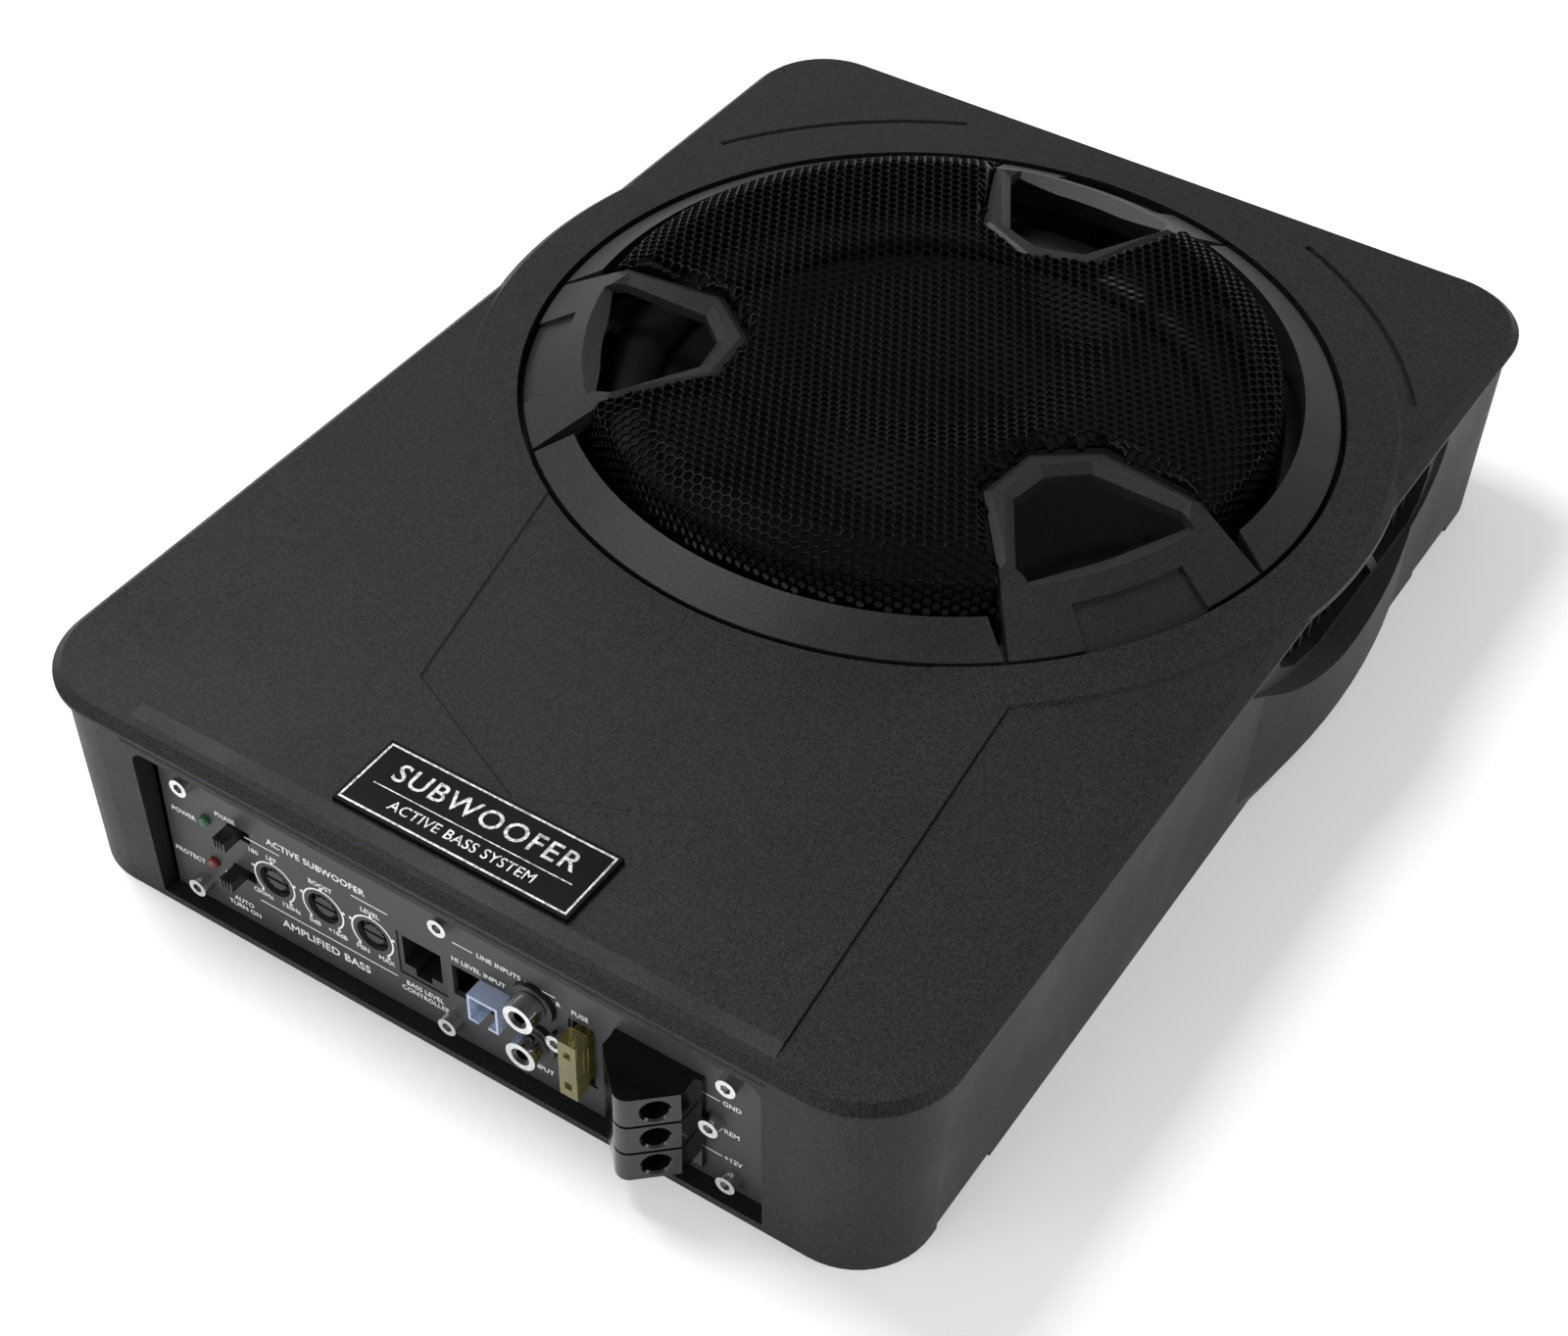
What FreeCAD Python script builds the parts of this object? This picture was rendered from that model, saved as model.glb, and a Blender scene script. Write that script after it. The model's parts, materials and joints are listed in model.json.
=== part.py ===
import FreeCAD, Part
import math
import os

# Powered under-seat car subwoofer: a flat die-cast case with an 8 inch woofer under a
# perforated grille, and an amplifier behind a recessed control panel.
# Millimetres, +Z up, standing on z = 0.  The panel faces -Y and the woofer is toward +Y.
# Lengths along Y are written from the middle of the top cover; SHIFT_Y then moves
# everything so that the origin is under the middle of the whole object.

V = FreeCAD.Vector

# ---- driving dimensions -------------------------------------------------------------
COVER_W = 250.0          # top cover, across
COVER_L = 350.0          # top cover, front to back
CORNER_R = 24.0          # plan radius of the cover's corners
COVER_TOP = 63.0         # flat top of the cover
LIP_Z = 60.0             # underside of the overhanging lip
SEAM_Z = 58.0            # cover sits here, on the gasket
GASKET_T = 0.5
RAISED = 0.8             # apron and collar stand this much above the cover
CREASE_DEEP = 0.35       # panel inside the V creases lies this much lower
CREASE_SLOPE = 0.7       # run of the slope down to it
LOOP_TOP = 76.0          # top of the three finger loops
GRILLE_TOP = 79.0        # flat of the grille's dome, the highest face

WALL = 3.0
FLOOR_T = 2.5
TRAY_TOP = SEAM_Z - GASKET_T
TRAY_INSET_TOP = 2.2     # tray wall behind the cover's edge, at its top
TRAY_INSET_BOTTOM = 4.0  # and at the bottom, from the casting draft

WOOFER_Y = 45.0          # woofer centre
RING_R = 110.0           # outside of the speaker ring
RING_IN_R = 99.8         # inside of its plain band
RING_GAP = 1.7           # groove round the ring
RING_EDGE_Z = 63.3       # outer edge of the sloping ring face
RING_SLOPE = 0.57        # rise per mm of radius, going in
STEP_Z = 57.0            # step in the cover's well that carries grille and ring
LEDGE_Z = 50.0           # ledge that carries the woofer
BASKET_R = 104.0

PANEL_Y = -166.7         # front face of the control panel
PANEL_T = 1.5
OPEN_X = (-90.0, 88.7)   # opening in the front wall, across
OPEN_TOP = 53.5
POWER_Y = -182.0         # foremost point of the power terminal block

BOARD_Z = 9.0
BOARD_T = 1.6

SHIFT_Y = -(COVER_L / 2 + POWER_Y) / 2

LOOP_ANGLES = (90.0, 210.0, 330.0)
CASE_SCREWS = [(s * x, y) for s in (-1, 1) for x, y in ((110, -156), (112, -75), (108, 158), (60, 164))]
INSERT_X = 111.0
INSERT_Y = 133.0         # from the middle of the whole object
MID_Y = -SHIFT_Y


# ---- small tools --------------------------------------------------------------------
def box(x0, x1, y0, y1, z0, z1):
    return Part.makeBox(x1 - x0, y1 - y0, z1 - z0, V(x0, y0, z0))


def rod(r, start, length, axis=(0, 0, 1)):
    return Part.makeCylinder(r, length, V(*start), V(*axis))


def tube(r_out, r_in, z0, z1, x=0.0, y=0.0):
    return rod(r_out, (x, y, z0), z1 - z0).cut(rod(r_in, (x, y, z0 - 1), z1 - z0 + 2))


def closed_wire(points):
    return Part.makePolygon([V(*p) for p in points] + [V(*points[0])])


def prism(points, z0, z1):
    face = Part.Face(closed_wire([(x, y, z0) for x, y in points]))
    return face.extrude(V(0, 0, z1 - z0))


def revolve(points, y=0.0, x=0.0, angle=360.0, start=0.0):
    """Closed (radius, height) outline turned about a vertical axis."""
    face = Part.Face(closed_wire([(r, 0, z) for r, z in points]))
    solid = face.revolve(V(0, 0, 0), V(0, 0, 1), angle)
    solid.rotate(V(0, 0, 0), V(0, 0, 1), start)
    solid.translate(V(x, y, 0))
    return solid


def sheet_profile(points, thickness):
    """Outline of a sheet: the (radius, height) line and the same line, thickness above."""
    return list(points) + [(r, z + thickness) for r, z in reversed(points)]


def round_rect(w, l, r, z, y=0.0):
    """Closed wire: a rectangle with round corners, in the plane at height z."""
    x1, y1 = w / 2, l / 2
    k = r * (1 - math.sqrt(0.5))
    edges = []
    for a, b, c in (((x1 - r, -y1), (x1 - k, -y1 + k), (x1, -y1 + r)),
                    ((x1, y1 - r), (x1 - k, y1 - k), (x1 - r, y1)),
                    ((-x1 + r, y1), (-x1 + k, y1 - k), (-x1, y1 - r)),
                    ((-x1, -y1 + r), (-x1 + k, -y1 + k), (-x1 + r, -y1))):
        pts = [V(p[0], p[1] + y, z) for p in (a, b, c)]
        edges.append((pts[0], Part.Arc(*pts).toShape(), pts[2]))
    parts = []
    for i, (start, arc, end) in enumerate(edges):
        parts.append(arc)
        parts.append(Part.LineSegment(end, edges[(i + 1) % 4][0]).toShape())
    return Part.Wire(parts)


def case_wire(inset, z):
    return round_rect(COVER_W - 2 * inset, COVER_L - 2 * inset, CORNER_R - inset, z)


def case_block(inset0, z0, inset1, z1):
    """Solid between two outlines of the case, each set in from the cover's edge."""
    return Part.makeLoft([case_wire(inset0, z0), case_wire(inset1, z1)], True, True)


def inset_polygon(points, d):
    """Counter-clockwise (x, y) outline moved inward by d, corner by corner."""
    out = []
    n = len(points)
    for i in range(n):
        ax, ay = points[i - 1]
        bx, by = points[i]
        cx, cy = points[(i + 1) % n]
        l1 = math.hypot(bx - ax, by - ay)
        l2 = math.hypot(cx - bx, cy - by)
        n1 = (-(by - ay) / l1, (bx - ax) / l1)
        n2 = (-(cy - by) / l2, (cx - bx) / l2)
        k = d / (1 + n1[0] * n2[0] + n1[1] * n2[1])
        out.append((bx + (n1[0] + n2[0]) * k, by + (n1[1] + n2[1]) * k))
    return out


def taper(lower, z0, upper, z1):
    wires = [closed_wire([(x, y, z) for x, y in pts]) for pts, z in ((lower, z0), (upper, z1))]
    return Part.makeLoft(wires, True, True)


def fuse(shapes):
    first = shapes[0]
    return first.multiFuse(shapes[1:]).removeSplitter() if len(shapes) > 1 else first


def cut(shape, tools):
    return shape.cut(Part.makeCompound(tools)) if tools else shape


def turned(shape, angle, x=0.0, y=0.0):
    """A copy turned about the vertical line through (x, y)."""
    out = shape.copy()
    out.rotate(V(x, y, 0), V(0, 0, 1), angle)
    return out


def moved(shape, x=0.0, y=0.0, z=0.0):
    out = shape.copy()
    out.translate(V(x, y, z))
    return out


def mirrored(shape):
    return shape.mirror(V(0, 0, 0), V(1, 0, 0))


def save(name, shape):
    solids = shape.Solids
    assert solids and all(s.isValid() for s in solids), name
    placed = [moved(s, y=SHIFT_Y) for s in solids]
    out = Part.makeCompound(placed) if len(placed) > 1 else placed[0]
    out.exportStep(os.path.join("parts", name + ".step"))


# ---- top cover ----------------------------------------------------------------------
APRON_HALF = 91.0        # half width of the raised apron at the front
APRON_BACK_HALF = 78.0   # and where it meets the collar
APRON_BACK_Y = -38.0
COLLAR_R = 127.5
POST_R = 4.5
POST_SPLIT_Z = 30.0
PILOT_R = 2.0


def apron_outline():
    front = -COVER_L / 2 - 1
    return [(-APRON_HALF, front), (APRON_HALF, front),
            (APRON_BACK_HALF, APRON_BACK_Y), (-APRON_BACK_HALF, APRON_BACK_Y)]


def apron():
    """Raised middle of the top, running forward from the collar and down over the edge."""
    top = COVER_TOP + RAISED
    front = -COVER_L / 2
    side = [(APRON_BACK_Y, SEAM_Z), (APRON_BACK_Y, top), (front + 9, top), (front + 2.2, top - 1.3),
            (front + 0.5, SEAM_Z)]
    face = Part.Face(closed_wire([(-APRON_HALF - 1, y, z) for y, z in side]))
    bar = face.extrude(V(2 * APRON_HALF + 2, 0, 0))
    return bar.common(prism(apron_outline(), SEAM_Z - 1, top + 1))


def crease_recess():
    """The shallow panel sunk inside the V creases, from the badge to the ring, with sloping sides."""
    outline = [(0, -142.0), (42.3, -122.3), (58.8, -46), (-58.8, -46), (-42.3, -122.3)]
    top = COVER_TOP + RAISED
    floor, brim = inset_polygon(outline, CREASE_SLOPE), inset_polygon(outline, -CREASE_SLOPE)
    return taper(floor, top - CREASE_DEEP, brim, top + CREASE_DEEP)


def corner_groove(start, end):
    """Engraved arc in a rear corner of the cover, round the woofer's centre."""
    r, half, deep = 130.0, 1.0, 1.0
    outline = [(r - half, COVER_TOP + 0.1), (r - half / 2, COVER_TOP - deep),
               (r + half / 2, COVER_TOP - deep),
               (r + half, COVER_TOP + 0.1)]
    return revolve(outline, y=WOOFER_Y, angle=end - start, start=start)


def well_wall():
    """Stepped wall that hangs below the woofer opening, with the ledge at its foot."""
    inside = RING_R + RING_GAP
    outside = inside + 2.5
    outline = [(96, LEDGE_Z - 2.5), (outside, LEDGE_Z - 2.5), (outside, LIP_Z + 1), (inside, LIP_Z + 1),
               (inside, STEP_Z), (105, STEP_Z), (105, LEDGE_Z), (96, LEDGE_Z)]
    return revolve(outline, y=WOOFER_Y)


def top_cover():
    plate = fuse([case_block(0, LIP_Z, 0, COVER_TOP - 2), case_block(0, COVER_TOP - 2, 2.5, COVER_TOP)])
    skirt = case_block(2.5, SEAM_Z, 2.5, LIP_Z)
    hollow = case_block(5.5, SEAM_Z - 1, 5.5, LIP_Z)
    collar = fuse([rod(COLLAR_R, (0, WOOFER_Y, LIP_Z), 2.0),
                   moved(Part.makeCone(COLLAR_R, COLLAR_R - 2.4, COVER_TOP + RAISED - LIP_Z - 2),
                         y=WOOFER_Y, z=LIP_Z + 2)])
    shell = fuse([plate, skirt, collar, apron()])
    shell = cut(shell, [hollow, crease_recess(), rod(RING_R + RING_GAP, (0, WOOFER_Y, LIP_Z - 10), 30)])
    posts = [rod(POST_R, (x, y, POST_SPLIT_Z), LIP_Z + 0.5 - POST_SPLIT_Z) for x, y in CASE_SCREWS]
    shell = fuse([shell, well_wall()] + posts)
    pilots = [rod(PILOT_R, (x, y, POST_SPLIT_Z - 1), 17) for x, y in CASE_SCREWS]
    grooves = [corner_groove(30, 64), corner_groove(116, 150)]
    ring_holes = [rod(RING_SCREW_R, (x, y, LEDGE_Z - 4), 12) for x, y in ring_screw_places()]
    woofer_holes = [rod(2.0, (x, y, LEDGE_Z - 3), 4) for x, y in woofer_screw_places()]
    return cut(shell, pilots + grooves + ring_holes + woofer_holes)


# ---- lower tray ---------------------------------------------------------------------
BULGE_Y = 52.0
BULGE_HALF = 64.0
LEDGE_TOP = 31.0         # top of the side bulge, floor of the side pocket
TRAY_HALF = COVER_W / 2 - TRAY_INSET_TOP


def bulge_wire(reach, half, z):
    """Arc that swells out of the right side wall, closed by a chord inside the wall."""
    base = TRAY_HALF - 5
    a, b, c = V(base, BULGE_Y - half, z), V(reach, BULGE_Y, z), V(base, BULGE_Y + half, z)
    return Part.Wire([Part.Arc(a, b, c).toShape(), Part.LineSegment(c, a).toShape()])


def bulge():
    foot = bulge_wire(124.0, BULGE_HALF - 6, 0)
    waist = bulge_wire(127.2, BULGE_HALF, 7)
    rim = bulge_wire(128.0, BULGE_HALF + 1, TRAY_TOP)
    lower = Part.makeLoft([foot, waist], True, True)
    upper = Part.makeLoft([waist, rim], True, True)
    return lower.fuse(upper)


def pocket_wire(x, grow):
    """Leaf-shaped outline of the side pocket: a long thin front tip and a blunt rear."""
    y0, y1, z0, z1 = -12 - grow, 114 + grow, LEDGE_TOP - grow, TRAY_TOP + 1
    tip, heel = V(x, y0, z1), V(x, y1, z1)
    low_a, low_b = V(x, 48, z0), V(x, 96, z0)
    return Part.Wire([Part.Arc(tip, V(x, 14, z0 + 9), low_a).toShape(),
                      Part.LineSegment(low_a, low_b).toShape(),
                      Part.Arc(low_b, V(x, 111 + grow, z0 + 8), heel).toShape(),
                      Part.LineSegment(heel, tip).toShape()])


def pocket():
    return Part.makeLoft([pocket_wire(TRAY_HALF - 1.8, 0), pocket_wire(TRAY_HALF + 9, 3)], True, True)


def slot(points):
    """One of the two side slots: a prism of the (y, z) outline cut through the wall."""
    face = Part.Face(closed_wire([(TRAY_HALF - 12, y, z) for y, z in points]))
    return face.extrude(V(14, 0, 0))


def side_slots():
    z0, z1 = LEDGE_TOP + 1.5, TRAY_TOP - 3
    front = [(10, z1), (16, z0 + 12), (26, z0 + 5), (42, z0), (76, z0), (58, z1)]
    rear = [(62, z1), (80, z0), (100, z0), (106, z0 + 4), (109, z0 + 10), (109, z1 - 2), (107, z1)]
    return [slot(front), slot(rear)]


def panel_tunnel():
    """Frame that runs back from the front opening to the control panel."""
    x0, x1 = OPEN_X
    return box(x0 - WALL, x1 + WALL, -171, PANEL_Y, 1, OPEN_TOP + WALL)


def panel_opening():
    x0, x1 = OPEN_X
    r = 4.0
    block = box(x0, x1, -COVER_L / 2, PANEL_Y + 0.01, FLOOR_T, OPEN_TOP)
    edges = [e for e in block.Edges if e.Length > 5 and abs(e.Vertexes[0].Z - e.Vertexes[1].Z) < 0.1
             and e.Vertexes[0].Z > OPEN_TOP - 1 and abs(e.Vertexes[0].X - e.Vertexes[1].X) < 0.1]
    return block.makeFillet(r, edges)


def insert_places():
    return [(sx * INSERT_X, MID_Y + sy * INSERT_Y) for sx in (-1, 1) for sy in (-1, 1)]


def lower_tray():
    outer = case_block(TRAY_INSET_BOTTOM, 0, TRAY_INSET_TOP, TRAY_TOP)
    right = bulge()
    outer = fuse([outer, right, mirrored(right)])
    inner_inset = TRAY_INSET_BOTTOM + WALL
    hollow = case_block(inner_inset, FLOOR_T, inner_inset - 1.2, TRAY_TOP + 1)
    shell = outer.cut(hollow)
    pocket_back = box(TRAY_HALF - 6, TRAY_HALF - 1, BULGE_Y - BULGE_HALF, BULGE_Y + BULGE_HALF + 2,
                      LEDGE_TOP - 4, TRAY_TOP)
    posts = [rod(POST_R, (x, y, 1), POST_SPLIT_Z - 1) for x, y in CASE_SCREWS]
    bosses = [rod(6.5, (x, y, 1), 11) for x, y in insert_places()]
    shell = fuse([shell, pocket_back, mirrored(pocket_back), panel_tunnel()] + posts + bosses)
    leaf = pocket()
    cuts = [panel_opening(), leaf, mirrored(leaf)]
    for hole in side_slots():
        cuts += [hole, mirrored(hole)]
    cuts += [rod(2.3, (x, y, -1), POST_SPLIT_Z + 2) for x, y in CASE_SCREWS]
    cuts += [moved(Part.makeCone(4.6, 2.3, 2.3), x, y, 0) for x, y in CASE_SCREWS]
    cuts += [rod(3.5, (x, y, -1), 11) for x, y in insert_places()]
    cuts += [box(*sorted((s * 114, s * 140)), y - 12, y + 12, -1, 2.2) for s in (-1, 1)
             for y in (MID_Y - INSERT_Y, MID_Y + INSERT_Y)]
    return cut(shell, cuts)


def vent_screen():
    """Black screen glued behind the two slots of the right side wall."""
    back = TRAY_HALF - 6
    plate = box(back - 1.5, back, 2, 113, LEDGE_TOP - 1, TRAY_TOP - 0.5)
    bars = [box(back, back + 1.2, y, y + 1.2, LEDGE_TOP + 2, TRAY_TOP - 4) for y in range(12, 106, 6)]
    keep = fuse([plate] + [b.common(Part.makeCompound(side_slots())) for b in bars])
    return keep


def case_gasket():
    return case_block(2.6, TRAY_TOP, 2.6, SEAM_Z).cut(case_block(5.0, TRAY_TOP - 1, 5.0, SEAM_Z + 1))


def case_screws():
    screws = []
    for x, y in CASE_SCREWS:
        head = moved(Part.makeCone(4.4, PILOT_R, 2.2), x, y, 0.1)
        shank = rod(PILOT_R, (x, y, 0.2), POST_SPLIT_Z + 14)
        drive = fuse([box(x - 2.2, x + 2.2, y - 0.5, y + 0.5, -1, 1.6),
                      box(x - 0.5, x + 0.5, y - 2.2, y + 2.2, -1, 1.6)])
        screws.append(fuse([head, shank]).cut(drive))
    return Part.makeCompound(screws)


def mount_inserts():
    return Part.makeCompound([tube(3.5, 2.5, 0.3, 10, x, y) for x, y in insert_places()])


# ---- speaker ring and grille --------------------------------------------------------
TIP_R = 50.0
SHOULDER = (57.4, 17.8)
HIP = (81.4, 28.0)
PAD_END = (112.0, 39.6)
PAD_FOOT_R = 99.0        # the pad stands on the flange from here out
PAD_FOOT_Z = 64.5        # underside of the pad further in
LOOP_FOOT_Z = 70.5       # underside of the loop over the grille
RIDGE_IN = 2.6           # the loop's outer slope, in from its outside
RIDGE_H = 1.2            # and its rise
VOID = [(57.9, 0.0), (62.0, 11.5), (84.6, 24.2), (88.6, 23.8)]     # edge of its opening
CHAMFER_H = 2.6          # the loop slopes down to the opening by this much
BENCH_R = 94.0           # the pad slopes down to the opening from here in
BENCH_SLOPE = 0.4
BAND_END_DEG = 19.9      # half angle of a loop's pad, and the gap beside it, at the ring's outside
BAND_END_IN_DEG = 21.7   # and at its inside
RING_SCREW_R = 1.5


def local_outline(points):
    """(outward, sideways) half outline, both sides, turned onto the +X axis about the woofer."""
    right = [(u, v) for u, v in points if v > 0]
    whole = [(points[0][0], 0.0)] if points[0][1] == 0 else []
    ordered = [(u, -v) for u, v in right] + [(u, v) for u, v in reversed(right)] + whole
    return [(u, v + WOOFER_Y) for u, v in ordered]


def loop_outline():
    return local_outline([(TIP_R, 0.0), SHOULDER, HIP, PAD_END])


def ring_face_z(r):
    return RING_EDGE_Z + RING_SLOPE * (RING_R - r)


def pad_envelope():
    """Turned outline of the loops: the ring's cone outside, flat on top, open below."""
    flat_r = RING_R - (LOOP_TOP - RING_EDGE_Z) / RING_SLOPE
    return revolve([(40, LOOP_FOOT_Z), (BENCH_R - 2, LOOP_FOOT_Z), (PAD_FOOT_R - 1, PAD_FOOT_Z),
                    (PAD_FOOT_R, PAD_FOOT_Z), (PAD_FOOT_R, SEAM_Z), (RING_R, SEAM_Z), (RING_R, RING_EDGE_Z),
                    (flat_r, LOOP_TOP), (40, LOOP_TOP - 0.6)], y=WOOFER_Y)


def finger_opening():
    """Opening of the loop: chamfered sides, and the pad sloping down to it."""
    edge = local_outline(VOID)
    foot = LOOP_TOP - CHAMFER_H
    sides = taper(edge, foot, inset_polygon(edge, -1.2 * CHAMFER_H), LOOP_TOP + 0.2)
    shaft = prism(edge, SEAM_Z - 2, foot)
    top, inside = ring_face_z(BENCH_R), BENCH_R - 12
    slope = revolve([(inside, top - 12 * BENCH_SLOPE), (BENCH_R, top), (BENCH_R, top + 9),
                     (inside, top + 9)], y=WOOFER_Y)
    mouth = prism(local_outline([(76.0, 0.0), VOID[2], (BENCH_R + 1, VOID[3][1])]), SEAM_Z, LOOP_TOP + 5)
    return [sides, shaft, slope.common(mouth)]


def loop():
    """One finger loop on +X: six-sided frame over the grille, on a pad of the ring."""
    outline = loop_outline()
    edge_z = LOOP_TOP - RIDGE_H
    body = prism(outline, SEAM_Z - 1, edge_z)
    crown = taper(outline, edge_z, inset_polygon(outline, RIDGE_IN), LOOP_TOP + 0.01)
    frame = body.fuse(crown).common(pad_envelope())
    deep, inner, half_angle = 1.4, 99.3, 9.3
    recess = revolve([(inner, ring_face_z(inner) - deep), (112, ring_face_z(112) - deep),
                      (112, ring_face_z(112) + 6), (inner, ring_face_z(inner) + 6)],
                     y=WOOFER_Y, angle=2 * half_angle, start=-half_angle)
    return cut(frame, finger_opening() + [recess])


def on_ring(r, degrees):
    t = math.radians(degrees)
    return (r * math.cos(t), WOOFER_Y + r * math.sin(t))


def band():
    """One plain stretch of the ring, between two loops, its ends slanted away from them."""
    outline = [(RING_IN_R, SEAM_Z), (RING_R, SEAM_Z), (RING_R, RING_EDGE_Z),
               (RING_IN_R, ring_face_z(RING_IN_R))]
    bar = revolve(outline, y=WOOFER_Y, angle=120 - 2 * BAND_END_DEG, start=BAND_END_DEG)
    trims = []
    for side, middle in ((1, 0.0), (-1, 120.0)):
        corners = [on_ring(r, middle + side * a) for r, a in (
            (RING_IN_R - 1, BAND_END_IN_DEG), (RING_R + 1, BAND_END_DEG),
            (RING_R + 1, 15.0), (RING_IN_R - 1, 15.0))]
        trims.append(prism(corners, SEAM_Z - 1, LOOP_TOP))
    return cut(bar, trims)


def ring_screw_places():
    return [on_ring(107.5, degrees) for degrees in range(30, 390, 60)]


def speaker_ring():
    base = tube(RING_R - 0.6, RING_IN_R + 0.4, SEAM_Z, SEAM_Z + 1.6, y=WOOFER_Y)
    one_loop, one_band = loop(), band()
    pieces = [base]
    for angle in LOOP_ANGLES:
        pieces += [turned(one_loop, angle, y=WOOFER_Y), turned(one_band, angle, y=WOOFER_Y)]
    holes = [rod(RING_SCREW_R, (x, y, SEAM_Z - 1), 4.5) for x, y in ring_screw_places()]
    return cut(fuse(pieces), holes)


GRILLE_T = 1.0
DOME_SINK = 2.5          # middle of the dome lies this much below its flat
DOME_CORNER = (93.3, 74.7)
DOME_FOOT_R = 96.3
LOOP_CLEAR = 0.6         # from the loop's outside to the grille round it


def dome_line():
    """(radius, height) from the axis out: sunk middle, flat, bevel and steep wall."""
    low = GRILLE_TOP - DOME_SINK
    return [(0.0, low), (34.0, low), (46.0, GRILLE_TOP), (84.0, GRILLE_TOP), DOME_CORNER,
            (DOME_FOOT_R, STEP_Z)]


def dome_inside():
    """The same line on the inner face of the sheet."""
    line = dome_line()
    top = [(r, z - GRILLE_T) for r, z in line[:-2]]
    corner = (DOME_CORNER[0] - 1.2 * GRILLE_T, DOME_CORNER[1] - 0.8 * GRILLE_T)
    return top + [corner, (DOME_FOOT_R - 1.05 * GRILLE_T, STEP_Z)]


def loop_seat(clear, z0):
    """Column over one finger loop on +X, larger than the loop all round."""
    return prism(inset_polygon(loop_outline(), -clear), z0, GRILLE_TOP + 5)


def grille():
    """Pressed steel dome with a flange, cut away round the loops, with turned-down edges there."""
    dome = revolve(dome_line() + list(reversed(dome_inside())), y=WOOFER_Y)
    flange = tube(RING_R - 0.5, DOME_FOOT_R - GRILLE_T, STEP_Z, SEAM_Z, y=WOOFER_Y)
    core = revolve(dome_line() + [(0.0, STEP_Z)], y=WOOFER_Y)
    edge = loop_seat(LOOP_CLEAR + GRILLE_T, LOOP_TOP - 1.5).common(core)
    sheet = fuse([dome, flange] + [turned(edge, a, y=WOOFER_Y) for a in LOOP_ANGLES])
    seat = loop_seat(LOOP_CLEAR, PAD_FOOT_Z - 0.5)
    cuts = [turned(seat, a, y=WOOFER_Y) for a in LOOP_ANGLES]
    cuts += [rod(RING_SCREW_R + 0.2, (x, y, STEP_Z - 1), 3) for x, y in ring_screw_places()]
    return cut(sheet, cuts)


def ring_screws():
    out = []
    for x, y in ring_screw_places():
        out.append(fuse([rod(2.8, (x, y, LEDGE_Z - 4.5), 2),
                         rod(RING_SCREW_R, (x, y, LEDGE_Z - 3), 13.5)]))
    return Part.makeCompound(out)


# ---- woofer -------------------------------------------------------------------------
COIL_R = 19.4
POLE_R = 18.4
BACK_Z = 4.5
GAP_Z = (21.0, 25.0)     # magnetic gap, bottom and top of the top plate
CONE_R = 76.0
CONE_EDGE_Z = 52.6
SURROUND_R = 92.0
SPIDER_Z = 34.0
SPIDER_R = 54.0


def woofer_basket():
    under = [(20.9, 25.0), (48.0, 25.0), (51.0, 33.0), (58.0, 33.0), (88.0, 45.5), (93.5, 51.0),
             (BASKET_R, 51.0)]
    shell = revolve(sheet_profile(under, 1.5), y=WOOFER_Y)
    windows = []
    for i in range(8):
        window = box(62, 84, WOOFER_Y - 12, WOOFER_Y + 12, 30, 50)
        windows.append(turned(window, 22.5 + 45 * i, y=WOOFER_Y))
    return cut(shell, windows + [rod(2.2, (x, y, 50), 4) for x, y in woofer_screw_places()])


def woofer_screw_places():
    return [on_ring(100.0, degrees) for degrees in range(0, 360, 45)]


def woofer_screws():
    out = []
    for x, y in woofer_screw_places():
        out.append(fuse([rod(3.4, (x, y, 52.5), 1.8), rod(2.0, (x, y, LEDGE_Z - 2), 5.0)]))
    return Part.makeCompound(out)


def woofer_gasket():
    ring = tube(BASKET_R, 97.0, LEDGE_Z, 51.0, y=WOOFER_Y)
    return cut(ring, [rod(2.2, (x, y, LEDGE_Z - 1), 3) for x, y in woofer_screw_places()])


def surround():
    """Half-roll rubber edge between cone and basket, with a flat foot on each side."""
    mid, half, rise, t = (CONE_R + SURROUND_R) / 2, (SURROUND_R - CONE_R) / 2, 6.0, 0.9
    z = 52.6
    a, b, c = V(mid - half, 0, z), V(mid, 0, z + rise), V(mid + half, 0, z)
    d, e, f = V(mid + half - t, 0, z), V(mid, 0, z + rise - t), V(mid - half + t, 0, z)
    wire = Part.Wire([Part.Arc(a, b, c).toShape(), Part.LineSegment(c, d).toShape(),
                      Part.Arc(d, e, f).toShape(), Part.LineSegment(f, a).toShape()])
    roll = Part.Face(wire).revolve(V(0, 0, 0), V(0, 0, 1), 360)
    roll.translate(V(0, WOOFER_Y, 0))
    feet = [tube(SURROUND_R + 3.6, SURROUND_R - 0.5, z, z + t, y=WOOFER_Y)]
    return fuse([roll] + feet)


def cone():
    under = [(COIL_R + 0.1, 38.0), (CONE_R - 3, CONE_EDGE_Z - 1.9), (CONE_R + 0.6, CONE_EDGE_Z - 1.2)]
    return revolve(sheet_profile(under, 1.1), y=WOOFER_Y)


def dust_cap():
    r, rise, z, t = 31.0, 7.0, 41.9, 0.9
    sphere_r = (r * r + rise * rise) / (2 * rise)
    centre = V(0, WOOFER_Y, z + rise - sphere_r)
    dome = Part.makeSphere(sphere_r, centre).cut(Part.makeSphere(sphere_r - t, centre))
    return dome.common(rod(r, (0, WOOFER_Y, z), rise + 1))


def voice_coil_former():
    return tube(COIL_R, COIL_R - 0.4, 15.0, 40.5, y=WOOFER_Y)


def voice_coil():
    return tube(COIL_R + 0.7, COIL_R, 16.0, 28.0, y=WOOFER_Y)


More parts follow.
